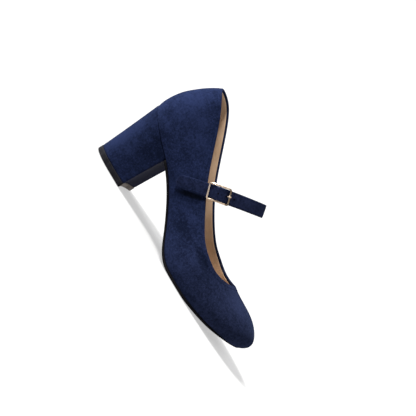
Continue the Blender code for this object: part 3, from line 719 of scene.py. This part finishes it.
def makeUpper():
    # the outer sheet, a half round over its edge, the fold inside and the hidden side back to the start
    outer, normal, points, centres = upperOuter()
    top, out = outer[-1], normal[-1]
    upward = unit(outer[-1] - outer[-2])
    radius, step = upper["rimRadius"], upper["fleshStep"]
    turn = np.linspace(0.0, math.pi, upper["rimRows"])[1:, None, None]
    rim = top - out * radius + radius * (np.cos(turn) * out + np.sin(turn) * upward)
    fold = [rim[-1] - upward * (upper["foldDown"] - edge) for edge in (upper["foldEdge"], 0.0)]
    flesh = outer - normal * upper["suedeThick"]
    inward = np.column_stack([unit(centres - points), np.zeros(len(points))])
    under = (outer[0] + inward * upper["underfold"])[None]
    grid = join(under, outer, rim, fold, flesh[: step - 1 : -step], flesh[1:2], under)
    gridPiece("upperSuede", grid, [suede], "navy_suede", "upper")
    return outer, normal


def makeLining():
    # the sheet moved in by the wall, from just under the rim to the insole, and its hidden side
    sheet, _, _ = upperSheet(lining)
    normal = gridNormals(sheet)
    inner = sheet - normal * (shoe["wall"] + lining["clear"])
    back = (sheet - normal * (shoe["wall"] - lining["backIn"]))[:: -lining["backStep"]]
    for row in (inner[0], back[-1]):
        row[:, 2] = feather(row[:, 0])
    edge = inner[-1:] + (sheet[-1:] - inner[-1:]) * lining["edgeTurn"]
    grid = join(inner, edge, back, inner[:1])
    gridPiece("upperLining", grid, [liningLeather], "beige_lining", flip=True)


upperGrid, upperOut = makeUpper()
makeLining()
print("upper and lining made")

stitch = {
    "length": 2.3,
    "pitch": 3.0,
    "thick": 0.5,
    "sunk": 0.05,
    "below": 3.2,  # the topline
    "sections": 7,
    "around": 8,
}


def stitchRow(name, path, out, form):
    # short bars along a path: each an ellipse section that swells and closes at both ends
    run = runOf(path)
    starts = np.arange(form["pitch"] / 2, run[-1] - form["pitch"] / 2, form["pitch"])
    along = np.linspace(-0.5, 0.5, form["sections"])
    at = starts[:, None] + along * form["length"]
    centre, upright = pathAt(at, run, path), unit(pathAt(at, run, out))
    sideways = np.cross(unit(np.gradient(centre, axis=1)), upright)
    swell = np.sqrt(np.clip(1 - (2 * along) ** 4, 0.0, 1.0)) * form["thick"] / 2
    wide, high = circle(form["around"])
    ring = wide[:, None] * sideways[:, :, None] + high[:, None] * upright[:, :, None]
    grid = centre[:, :, None] - upright[:, :, None] * form["sunk"] + ring * swell[:, None, None]
    faces = ringFaces(form["sections"], form["around"])[2]
    each = np.arange(len(starts))[:, None, None, None] * form["sections"] * form["around"]
    newPiece(newMesh(name, grid, faces + each, [threadLook]), "navy_suede", turnOut=True)


def toplineStitches():
    # a line on the outer sheet, a fixed length below its top edge
    down = np.linalg.norm(np.diff(upperGrid, axis=0), axis=-1)[::-1]
    depth = join(np.zeros((1, down.shape[1])), np.cumsum(down, axis=0))
    rows = np.argmax(depth > stitch["below"], axis=0)
    column = np.arange(len(rows))
    before, after = depth[rows - 1, column], depth[rows, column]
    share = ((stitch["below"] - before) / (after - before))[:, None]
    lines = []
    for flipped in (upperGrid[::-1], upperOut[::-1]):
        line = flipped[rows - 1, column] * (1 - share) + flipped[rows, column] * share
        lines.append(join(line, line[:1]))
    stitchRow("toplineStitches", *lines, stitch)


toplineStitches()
print("topline stitched")

heel = {
    "backLow": 2.6,
    "frontLow": 48.0,
    "frontTop": 51.0,
    "halfWidthLow": 24.2,
    "ovalShare": 0.62,
    "breastHollow": 2.6,
    "sideHollow": 0.06,
    "sidePoints": 130,
    "breastPoints": 90,
    "levels": 48,
    "cornerPasses": 14,  # how often the loop is averaged, which rounds the breast's corners
    "turnIn": 0.4,  # at the lift
    "turnHeight": 0.5,
    "tuckIn": 0.75,  # under the upper
    "tuckHeight": 1.0,
    "seatFlush": 1.35,
    "flushReach": (24.0, 2.0),
    "liftThick": 5.5,
    "liftEdge": 0.9,
    "liftBevel": 0.35,
    "liftProud": 0.25,
    "liftRoundRows": 6,
    "liftWallRows": 4,
    "liftWallClear": (1.0, 0.5),  # of the bevel and of the round
}


def heelStations(back, front):
    # 1 - cos of a quarter turn, so close together at the back
    return back + (front - back) * (1 - np.cos(np.linspace(0.0, quarterTurn, heel["sidePoints"])))


def breastLine(front, start, end, count):
    # across the shoe, hollowed by a parabola
    share = np.linspace(0.0, 1.0, count + 2)[1:-1]
    hollow = front - heel["breastHollow"] * (1 - (2 * share - 1) ** 2)
    return np.stack([hollow, start + (end - start) * share], axis=1)


def heelLoop(along, outer, inner, front):
    # round the D: outer side from the back, hollow breast, inner side to the back
    breast = breastLine(front, outer[-1], inner[-1], heel["breastPoints"])
    sides = [np.stack([along, side], axis=1) for side in (outer, inner)]
    loop = join(sides[0], breast, sides[1][::-1][:-1])
    for _ in range(heel["cornerPasses"]):
        loop = 0.25 * np.roll(loop, 1, axis=0) + 0.5 * loop + 0.25 * np.roll(loop, -1, axis=0)
    return loop


def heelLow():
    # half an ellipse at the back, then straight sides to the breast
    back, front = heel["backLow"], heel["frontLow"]
    along = heelStations(back, front)
    reach = np.minimum((along - back) / (heel["ovalShare"] * (front - back)), 1.0)
    across = heel["halfWidthLow"] * np.sqrt(1 - (1 - reach) ** 2)
    return heelLoop(along, -across, across, front)


def heelHigh():
    # the feather edge, let out at the back to lie flush under the counter
    flush = heel["seatFlush"]
    along = heelStations(featherLoop(flush)[0, 0], heel["frontTop"])
    edges = featherSides(along, 0.0, flush, smoothstep(along, *heel["flushReach"]))
    return heelLoop(along, *edges, heel["frontTop"])


def onBreast(k, inset):
    # columns of the breast, this many inside its corners
    start = heel["sidePoints"]
    return (k >= start + inset) & (k < start + heel["breastPoints"] - 1 - inset)


def loopOutward(loop):
    # the loop's direction turned by a quarter
    ahead = unit(np.roll(loop, -1, axis=0) - np.roll(loop, 1, axis=0))
    return np.stack([ahead[:, 1], -ahead[:, 0]], axis=1)


def makeHeel():
    # the seat loop eased down to the floor loop, drawn in between, both edges turned in, ends closed
    high, low = heelHigh(), heelLow()
    seat, floor = feather(high[:, 0]), heel["liftThick"]
    share = np.linspace(0.0, 1.0, heel["levels"])[:, None]
    drawn = share + heel["sideHollow"] * np.sin(math.pi * share)
    plan = high + (low - high) * drawn[..., None]
    height = seat + (floor - seat) * share
    turned = heel["turnIn"] * bell(height, floor, heel["turnHeight"])
    turned += heel["tuckIn"] * bell(height, seat, heel["tuckHeight"])
    plan = plan - turned[..., None] * np.array([loopOutward(loop) for loop in plan])
    grid = capped(np.concatenate([plan, height[..., None]], axis=-1))
    face = lambda i, k: onBreast(k, -1) & (i > 0) & (i < len(grid) - 2)
    finishes = [heelSuede, breastLeather]
    gridPiece("heelCover", grid, finishes, "navy_suede", "heel", finishOf=face, flip=True)


def makeLift():
    # the floor loop with a small bevel above and a round below
    loop = heelLow()
    edge, bevel, thick = heel["liftEdge"], heel["liftBevel"], heel["liftThick"]
    turn = np.linspace(0.0, quarterTurn, heel["liftRoundRows"])
    above, below = heel["liftWallClear"]
    wall = np.linspace(thick - above, edge + below, heel["liftWallRows"])
    inset = join([bevel, 0.0], 0 * wall, edge * (1 - np.cos(turn)))
    height = join([thick, thick - bevel], wall, edge * (1 - np.sin(turn)))
    plan = loop + loopOutward(loop) * (heel["liftProud"] - inset)[:, None, None]
    heights = np.broadcast_to(height[:, None, None], (*plan.shape[:2], 1))
    grid = capped(np.concatenate([plan, heights], axis=-1))
    # the front faces take the lighter rubber: painted light
    onLitFront = lambda i, k: onBreast(k, 1) & (i > 0) & (i < len(grid) - 5)
    face = lambda i, k: np.where(i == len(grid) - 2, 2, onLitFront(i, k))  # the last row is walked on
    finishes = [liftRubber, liftFrontLit, liftTread]
    gridPiece("topLift", grid, finishes, "lift_rubber", "top_lift", finishOf=face, flip=True)


makeHeel()
makeLift()
print("heel and lift made")

sole = {
    "edge": 0.8,
    "toeEdge": -0.4,
    "toeRange": (165.0, 225.0),  # where the edge is drawn in to the toe's
    "behindBreast": 0.05,
    "sidePoints": 200,
    "breastPoints": 40,
    "edgeRows": 11,
    "edgeRound": 0.7,
    "rings": (0.0, 0.35, 0.7, 0.93),  # shares of the way from the spine to the edge
    "skive": 0.72,  # the sole thins out under the toe
    "skiveRange": (196.0, 228.0),
    "centreRange": (63.0, 182.0),
}
sock = {
    "points": 320,
    "thick": 2.4,
    "sideShare": 0.6,
    "cup": 1.6,
    "cupRange": (0.72, 1.0),
    "clear": 0.1,
    "under": 0.05,
    "rings": (0.985, 0.96, 0.92, 0.86, 0.78, 0.68, 0.55, 0.4, 0.2, 0.0),
}


def soleLoop():
    # round the outsole: outer edge from breast to toe, inner edge back, then along the hollow breast
    tip = featherLoop(sole["toeEdge"])[shoe["edgePoints"] // 2, 0]
    start = heel["frontTop"] + sole["behindBreast"]
    along = start + (tip - start) * np.sin(np.linspace(0.0, quarterTurn, sole["sidePoints"]))
    drawn = smoothstep(along, *sole["toeRange"])
    edges = featherSides(along, sole["edge"], sole["toeEdge"], drawn)
    outer, inner = (np.stack([along, edge], axis=1) for edge in edges)
    breast = breastLine(start, inner[0, 1], outer[0, 1], sole["breastPoints"])
    return join(outer, inner[::-1][1:], breast)


def makeOutsole():
    # half-round edge swept round the loop, closed above and below towards the spine
    loop = soleLoop()
    facing = np.clip(loop[:, 0], *sole["centreRange"])
    inward = np.stack([facing, spine(facing)], axis=1) - loop
    thick = shoe["soleThick"]
    turn = np.linspace(0.0, math.pi, sole["edgeRows"])
    depth = sole["edgeRound"] * thick * (1 - np.sin(turn)) / 2
    flats = [loop + inward * (1 - share) for share in sole["rings"]]
    plans = [*flats, *(loop + unit(inward) * d for d in depth), *flats[::-1]]
    level = np.ones(len(flats))
    heights = thick * join(level, 0.5 + 0.5 * np.cos(turn), 0 * level)
    rows = []
    for plan, height in zip(plans, heights):
        skived = sole["skive"] * smoothstep(plan[:, 0], *sole["skiveRange"])
        rows.append(np.column_stack([plan, tread(plan[:, 0]) + height + (thick - height) * skived]))
    face = lambda i, k: i >= len(flats) + len(turn) - 1
    finishes = [blackSole, soleTread]
    gridPiece("soleUnit", np.array(rows), finishes, "black_sole", "outsole", finishOf=face, flip=True)


def makeSock():
    # insole top, cupped up at its edge and let out there to the lining, closed below
    points, centres, side = ringRays(sock["points"])
    tucked = tuckStep(points, centres, side)
    inset = unit(points - centres) * (shoe["wall"] + sock["clear"])
    rise = lastAt("rise", points[:, 0])[:, None]
    facing = (centres[:, 0] + np.roll(centres[::-1, 0], 1)) / 2  # the same spine point for both sides
    middle = np.stack([facing, spine(facing)], axis=1)
    thick, cup, under = sock["thick"], sock["cup"], sock["under"]
    rows = [(0.0, under), (1.0, under), (1.0, thick * sock["sideShare"] + cup)]
    rows += [(reach, thick + cup * smoothstep(reach, *sock["cupRange"])) for reach in sock["rings"]]
    grid = []
    for reach, height in rows:
        edge = points + tucked * (1 - height / rise) ** 2 - inset
        plan = middle + (edge - middle) * reach
        grid.append(np.column_stack([plan, feather(plan[:, 0]) + height]))
    gridPiece("sockLining", np.array(grid), [sockLeather], "beige_lining", "insole")


makeOutsole()
makeSock()
print("outsole and sock made")

strap = {
    "width": 12.4,
    "thick": 1.6,
    "slope": math.radians(38.8),
    "start": (72.5, 49.6),  # along and height of the tail's end
    "arch": 79.6,
    "bow": 1.0,  # of the side view, between the tail and the crest
    "halfOuter": 30.0,
    "halfInner": 22.4,
    "roundness": 2.2,
    "crestSide": 1.0,
    "clear": 0.5,
    "settle": 1.0,
    "endFade": 16.0,
    "sewnIn": -2.0,  # the inner end goes this far below the topline
    "hump": 2.8,
    "tailBow": 1.2,
    "tailRise": (-4.0, 20.0),
    "tailFall": (29.5, 22.0),
    "tailTwist": 0.4,
    "finePoints": 3000,
    "steps": 300,
    "tailSteps": 24,
    "around": 28,
    "edgeWidth": 0.32,
    "edgePower": 0.35,  # of the section, across and through
    "facePower": 0.55,
    "probe": 0.05,  # step that finds the surface's normal
    "stitchPress": 0.10,
    "pressWidth": 0.5,
    "tailFill": 1.5,  # how soon the round tail has its full thickness
}
strapStitch = {
    **stitch,
    "pitch": 2.8,
    "length": 2.1,
    "thick": 0.45,
    "inset": 1.5,
    "from": 3.2,
    "curl": 5.4,  # over which the row runs out from the middle, round the tail
    "short": 1.0,  # of the topline
    "points": 600,
}

buckle = {
    "at": 40.5,
    "length": 21.3,
    "width": 16.0,
    "shift": -0.08,  # the strap lies nearer the frame's upper side bar
    "skew": 0.085,  # the pulled frame sits askew: its lower side bar further along the strap
    "soft": 0.85,  # 1 makes its bars round, less makes them square
    "bar": 1.55,
    "corner": 1.5,
    "lift": 2.0,
    "centreLift": 0.9,
    "centreRadius": 0.7,
    "prong": 0.55,
    "prongGap": 0.3,  # round the centre bar
    "prongOver": 1.6,
    "prongBend": 0.45,  # where it starts to climb
    "prongDrop": 0.7,  # of its tip
    "prongSlant": 0.6,  # sideways, towards the upper side bar
    "prongTurn": (-165.0, -60.0),
    "prongSink": 0.05,  # into the front bar
    "prongSwell": (0.25, 1.4),  # share and spread of its thickening there
    "prongSlantFrom": 3.0,
    "prongTipFrom": 0.5,
    "tabWidth": 8.4,
    "tabThick": 1.2,
    "tabGap": 0.15,
    "tabTurn": (-110.0, -10.0),
    "tabSewnIn": -2.0,
    "framePoints": 240,
    "around": 20,  # points round the frame's and the tab's sections, and round thin ones
    "thinAround": 14,
    "bendPoints": 14,
    "straightPoints": 24,
}
endReach = (buckle["length"] - buckle["bar"]) / 2  # from the buckle's middle to its end and side bars
sideReach = (buckle["width"] - buckle["bar"]) / 2


def strapArch():
    # superellipse in the strap's sloping plane: length run, rise and place across
    turn = np.linspace(0.0, math.pi, strap["finePoints"])
    power = 2 / strap["roundness"]
    rise = strap["arch"] * np.sin(turn) ** power
    crest = strap["crestSide"]
    half = np.where(turn < quarterTurn, -strap["halfOuter"] - crest, strap["halfInner"] - crest)
    across = crest + half * np.abs(np.cos(turn)) ** power
    return runOf(np.stack([rise, across], axis=1)), rise, across


archTable = strapArch()


def strapSideView(rise, offset):
    # a straight slope, bowed by a sine, in the side view
    slope = strap["slope"]
    bowed = offset + strap["bow"] * np.sin(math.pi * rise / strap["arch"])
    along = strap["start"][0] + rise * math.cos(slope) - bowed * math.sin(slope)
    return along, strap["start"][1] + rise * math.sin(slope) + bowed * math.cos(slope)


def strapMiddle(run, offset):
    # the arch, kept outside the outer quarter and led into the inner topline
    runs, rises, sides = archTable
    across = np.interp(run, runs, sides)
    along, height = strapSideView(np.interp(run, runs, rises), offset)
    outside = quarterSide(along, height, -1) - strap["clear"] - strap["thick"] / 2
    held = 0.5 * (across + outside - np.hypot(across - outside, strap["settle"]))
    inside = quarterSide(along, height, 1) - shoe["wall"] / 2
    free = smoothstep(height - lastAt("topline", along), 0.0, strap["endFade"])
    led = inside + (across - inside) * free
    return np.stack([along, np.where(run < runs[np.argmax(rises)], held, led), height], axis=-1)


def strapPoint(run, offset, out):
    # middle surface plus a distance along its normal
    run, offset, out = np.broadcast_arrays(run, offset, out)
    small = strap["probe"]
    along = strapMiddle(run + small, offset) - strapMiddle(run - small, offset)
    across = strapMiddle(run, offset + small) - strapMiddle(run, offset - small)
    return strapMiddle(run, offset) + unit(np.cross(along, across)) * out[..., None]


def strapGrid(points):
    # points (run, offset, out) carried onto the strap
    return strapPoint(*np.moveaxis(points, -1, 0))


def toplineRun(offset, inner, clear):
    # where the strap's line is this far above the topline
    runs, rises, _ = archTable
    crest = np.argmax(rises)
    half = slice(crest, None) if inner else slice(0, crest)
    along, height = strapSideView(rises[half], offset)
    above = height - lastAt("topline", along)
    order = np.argsort(above)
    return np.interp(clear, above[order], runs[half][order])


def strapHump(run, offset):
    # a cosine hump over the centre bar, and the free tail rising to the buckle, most along its lower edge
    rise, fall = (smoothstep(run, *strap[key]) for key in ("tailRise", "tailFall"))
    bow = strap["tailBow"] * rise * fall * (1 - strap["tailTwist"] * offset / strap["width"] * 2)
    away = np.clip((run - buckle["at"]) / endReach, -1.0, 1.0)
    return strap["hump"] * (0.5 + 0.5 * np.cos(math.pi * away)) + bow


def softSquare(value, power):
    # sign times size^power
    return np.sign(value) * np.abs(value) ** power


def bandSection(width, thick, around):
    # flat band with rounded edges: superellipse across, offsets and heights
    wide, high = circle(around)
    across, through = softSquare(wide, strap["edgePower"]), softSquare(high, strap["facePower"])
    return across * width / 2, through * thick / 2


def makeStrap():
    # the band carried along its run: round tail, hump and bow, each edge led to its own place at the topline
    half = strap["width"] / 2
    offset, height = bandSection(strap["width"], strap["thick"], strap["around"])
    ends = np.array([toplineRun(o, True, strap["sewnIn"]) for o in offset])
    tip = half * (1 - np.cos(np.linspace(0.0, quarterTurn, strap["tailSteps"])))
    line = join(tip, np.linspace(half, ends.min(), strap["steps"])[1:])
    tail = np.sqrt(np.clip(1 - (1 - np.minimum(line / half, 1.0)) ** 2, 0.0, 1.0))[:, None]
    nearEnd = np.clip(1 - (line[-1] - line) / strap["endFade"], 0.0, 1.0)[:, None]
    run = line[:, None] + nearEnd * (ends - line[-1])
    press = bell(np.abs(offset), half - strapStitch["inset"], strap["pressWidth"])
    pressed = 1 - strap["stitchPress"] * press
    out = strapHump(run, offset * tail) + height * pressed * np.minimum(tail * strap["tailFill"], 1.0)
    grid = capped(strapPoint(run, offset * tail, out))[1:]
    grid[0] = grid[0].mean(axis=0)
    onEdge = np.abs(offset + np.roll(offset, -1)) / 2 > half - strap["edgeWidth"]
    finishes = [strapSuede, dyedEdge]
    gridPiece("instepStrap", grid, finishes, "navy_suede", "strap", finishOf=lambda i, k: onEdge[k])


def strapStitches(name, sign):
    # a row beside one edge, which curls in round the tail as sqrt(1 - (1 - s)^2)
    form = strapStitch
    run = np.linspace(form["from"], toplineRun(0.0, True, form["short"]), form["points"])
    offset = sign * (strap["width"] / 2 - form["inset"])
    offset = offset * np.sqrt(np.clip(1 - np.clip(1 - run / form["curl"], 0.0, 1.0) ** 2, 0.0, 1.0))
    face = strapHump(run, offset) + strap["thick"] / 2 - form["sunk"]
    path = strapPoint(run, offset, face)
    stitchRow(name, path, strapPoint(run, offset, face + 1.0) - path, form)


def barPiece(name, path, section, closed, material, *nodes):
    # a section carried along a path in strap coordinates (run, offset, out)
    ahead = np.roll(path, -1, axis=0) - np.roll(path, 1, axis=0) if closed else np.gradient(path, axis=0)
    ahead = unit(ahead)
    sideways = unit(np.cross(ahead, (0.0, 0.0, 1.0)))
    wide, high = section
    points = path[:, None] + wide[:, None] * sideways[:, None]
    points = points + high[:, None] * np.cross(sideways, ahead)[:, None]
    points = join(points, points[:1]) if closed else capped(points)
    gridPiece(name, strapGrid(points), [material], "pale_gold", *nodes, flip=True)


def buckleFrame():
    # rounded rectangle: four quarter turns joined by straight bars
    corner, half = buckle["corner"], buckle["bar"] / 2
    quarter = np.arange(4)[:, None] * quarterTurn
    turns = quarter + np.linspace(0.0, quarterTurn, buckle["bendPoints"])
    middle = quarter + quarterTurn / 2
    run = buckle["at"] + np.sign(np.cos(middle)) * (endReach - corner) + corner * np.cos(turns)
    offset = np.sign(np.sin(middle)) * (sideReach - corner) + corner * np.sin(turns) + buckle["shift"]
    run = run - buckle["skew"] * offset
    path = np.stack([run.ravel(), offset.ravel(), np.full(run.size, buckle["lift"])], axis=1)
    path = join(path, path[:1])
    length = runOf(path)
    path = pathAt(np.linspace(0.0, length[-1], buckle["framePoints"] + 1)[:-1], length, path)
    section = [half * softSquare(value, buckle["soft"]) for value in circle(buckle["around"])]
    barPiece("buckleFrame", path, section, True, goldPaintedReflections, "buckle")


def centreBar():
    # straight rod between the side bars, skewed with the frame
    offset = buckle["shift"] + np.linspace(-sideReach, sideReach, buckle["straightPoints"])
    run = buckle["at"] - buckle["skew"] * offset
    path = np.stack([run, offset, np.full(len(run), buckle["centreLift"])], axis=1)
    section = [buckle["centreRadius"] * value for value in circle(buckle["thinAround"])]
    barPiece("buckleCentreBar", path, section, False, paleGold)


def makeProng():
    # hook under the centre bar, straight rise through the strap, rounded tip over the front bar
    thick, reach, centre = buckle["prong"], buckle["prongOver"], buckle["centreLift"]
    hook = buckle["centreRadius"] + buckle["prongGap"] + thick
    turn = np.radians(np.linspace(*buckle["prongTurn"], buckle["bendPoints"]))
    over = buckle["lift"] + buckle["bar"] / 2 + thick - buckle["prongSink"]
    start, low = hook * math.cos(turn[-1]), centre + hook * math.sin(turn[-1])
    share, beyond = np.linspace(0.0, 1.0, 28)[1:], np.linspace(0.0, 1.0, 9)[1:]
    run = join(hook * np.cos(turn), start + (endReach - start) * share, endReach + reach * beyond)
    climb = low + (over - low) * smoothstep(share, buckle["prongBend"], 1.0)
    rise = join(centre + hook * np.sin(turn), climb, over - buckle["prongDrop"] * beyond**2)
    slant = buckle["prongSlant"] * smoothstep(run, buckle["prongSlantFrom"], endReach)
    path = np.stack([buckle["at"] + run, slant, rise], axis=1)
    ended = smoothstep(run, endReach + buckle["prongTipFrom"], endReach + reach)
    tip = np.sqrt(np.clip(1 - ended**2, 0.02, 1.0))
    swell, spread = buckle["prongSwell"]
    size = (thick * (1 + swell * bell(run, endReach, spread)) * tip)[:, None, None]
    sideways = np.array([0.0, 1.0, 0.0])
    upright = np.cross(unit(np.gradient(path, axis=0)), sideways)[:, None]
    wide, high = circle(buckle["thinAround"])
    points = path[:, None] + size * (wide[:, None] * sideways + high[:, None] * upright)
    gridPiece("buckleProng", strapGrid(capped(points)), [paleGold], "pale_gold", "prong")


def makeTab():
    # short band from inside the outer topline, round the centre bar beside the prong
    thick = buckle["tabThick"]
    offset, height = bandSection(buckle["tabWidth"], thick, buckle["around"])
    radius = buckle["centreRadius"] + buckle["tabGap"] + thick / 2
    turn = np.radians(np.linspace(*buckle["tabTurn"], buckle["bendPoints"]))
    start = toplineRun(0.0, False, buckle["tabSewnIn"])
    rim = strapMiddle(np.array(start), np.array(0.0))
    rimOut = rim[1] - quarterSide(rim[0], rim[2], -1) - shoe["wall"] / 2
    bendRun = buckle["at"] + radius * np.cos(turn)
    bendOut = buckle["centreLift"] + radius * np.sin(turn)
    share = np.linspace(0.0, 1.0, buckle["straightPoints"])[:-1]
    run = join(start + (bendRun[0] - start) * share, bendRun)
    out = join(rimOut + (bendOut[0] - rimOut) * smoothstep(share, 0.0, 1.0), bendOut)
    ahead = unit(np.stack([np.gradient(run), np.gradient(out)], axis=-1))
    grid = strapPoint(run[:, None] - ahead[:, 1:] * height, offset, out[:, None] + ahead[:, :1] * height)
    gridPiece("buckleTab", capped(grid), [strapSuede], "navy_suede", "buckle_tab")


hole = {
    "used": 6.9,  # from the centre bar to the hole that the prong goes through
    "places": (-1, 0, 1),
    "pitch": 7.6,
    "radius": 0.85,
    "proud": 0.06,
    "dish": 0.05,
    "sunk": -0.4,  # closed below, inside the strap
    "rings": 6,
    "around": 20,
}


def strapHoles():
    # shallow dark dishes on the strap's face: rings of a disc carried along the strap
    disc = np.linspace(0.0, 1.0, hole["rings"])
    rings = hole["radius"] * join(disc, [1.0, 0.0])[:, None]
    face = join(hole["proud"] - hole["dish"] * disc**4, [hole["sunk"]] * 2)[:, None]
    wide, high = circle(hole["around"])
    for number, place in enumerate(hole["places"]):
        run = buckle["at"] + hole["used"] + hole["pitch"] * place + rings * wide
        grid = strapPoint(run, rings * high, strapHump(run, rings * high) + strap["thick"] / 2 + face)
        gridPiece(f"strapHole{number}", grid, [holeShade], "navy_suede", flip=True)


makeStrap()
strapHoles()
strapStitches("strapStitchesOuter", -1)
strapStitches("strapStitchesInner", 1)
buckleFrame()
centreBar()
makeProng()
makeTab()
print("strap and buckle made")

view = {
    "azimuth": math.radians(12.0),
    "elevation": math.radians(8.5),
    "roll": math.radians(57.8),
    "distance": 1.3,
    "perPixel": 0.00093,  # metres to a pixel at that distance
    "imageSide": 416,
    "heelPixel": (113.4, 170.4),  # where the frame's origin lies in the picture
    "sensor": 36.0,
}


def makeCamera():
    # same viewpoint as the photo; aimed at the point in the middle of the picture, then rolled
    azimuth, elevation, roll = view["azimuth"], view["elevation"], view["roll"]
    cosine, sine, flat = math.cos(roll), math.sin(roll), math.cos(elevation)
    back = Vector((math.sin(azimuth) * flat, -math.cos(azimuth) * flat, math.sin(elevation)))
    right = Vector((math.cos(azimuth), math.sin(azimuth), 0.0))
    up = back.cross(right)
    dx, dy = ((view["imageSide"] / 2 - p) * view["perPixel"] for p in view["heelPixel"])
    aim = right * (cosine * dx + sine * dy) + up * (sine * dx - cosine * dy)
    place = back * view["distance"]
    away = (place - aim).normalized()
    level = Vector((0.0, 0.0, 1.0)).cross(away).normalized()
    above = away.cross(level)
    across, upright = level * cosine + above * sine, above * cosine - level * sine
    lens = bpy.data.cameras.new("camera")
    lens.sensor_width = view["sensor"]
    lens.lens = view["sensor"] * view["distance"] / (view["imageSide"] * view["perPixel"])
    camera = placed("camera", lens)
    camera.matrix_world = Matrix((across, upright, away)).transposed().to_4x4()
    camera.matrix_world.translation = place
    bpy.context.scene.camera = camera


floorForm = {
    "side": 8.0,  # in metres
    "low": -0.0003,
    "dark": (0.27, 0.27, 0.27),
    "light": (0.28, 0.28, 0.28),
    "glow": 0.5,  # a light table
}


def makeFloor():
    # large pale sheet just under the shoe
    mesh = bpy.data.meshes.new("floor")
    side, low = floorForm["side"], floorForm["low"]
    corners = [(x, y, low) for x, y in ((-side, -side), (side, -side), (side, side), (-side, side))]
    mesh.from_pydata(corners, [], [(0, 1, 2, 3)])
    glow = {"Emission_Strength": floorForm["glow"], "Emission_Color": (1.0, 1.0, 1.0, 1.0)}
    finish = Finish("paleFloor", Roughness=0.8, Specular_IOR_Level=0.1, **glow)
    cloud = finish.noise(finish.place, 1.5, 2.0)
    mesh.materials.append(finish.feed(Base_Color=finish.mix(cloud, floorForm["dark"], floorForm["light"])))
    floor = placed("floor", mesh)


# Distant soft lights: where they stand, their spread in degrees, strength and colour.
lightRows = (
    ("keyBehind", (-0.68, -0.26, 0.69), 12.0, 6.4, (1.0, 0.99, 0.97)),
    ("kicker", (-0.95, 0.05, 0.30), 25.0, 3.2, (0.97, 0.98, 1.0)),
    ("overhead", (0.40, -0.20, 0.90), 60.0, 0.9, (1.0, 1.0, 1.0)),
)
sky = {
    "wall": 1.06,  # white wall behind the shoe, dimmer room
    "room": 0.34,
    "wallTowards": (-0.2, 0.97, -0.1),
    "wallRange": (0.3, 0.85),
}


def makeLights():
    # distant lamps, and a sky that is smoothly brighter towards the wall
    for name, stand, spread, strength, colour in lightRows:
        lamp = bpy.data.lights.new(name, "SUN")
        lamp.angle, lamp.energy, lamp.color = math.radians(spread), strength, colour
        light = placed(name, lamp)
        light.location = stand
        light.rotation_euler = (-Vector(stand)).to_track_quat("-Z", "Y").to_euler()
    world = bpy.data.worlds.new("studio")
    world.use_nodes = True
    bench = Bench(world.node_tree)
    outlook = bench.node("ShaderNodeTexCoord", {}, {}, "Generated")
    facing = bench.measure("DOT_PRODUCT", outlook, sky["wallTowards"])
    towards = bench.between(facing, *sky["wallRange"])
    strength = sky["room"] + towards * (sky["wall"] - sky["room"])
    background = world.node_tree.nodes["Background"]
    background.inputs["Color"].default_value = (1.0, 1.0, 1.0, 1.0)
    world.node_tree.links.new(strength.socket, background.inputs["Strength"])
    bpy.context.scene.world = world
    bpy.context.scene.view_settings.view_transform = "Standard"


makeCamera()
makeFloor()
makeLights()
print("camera, floor and lights made")
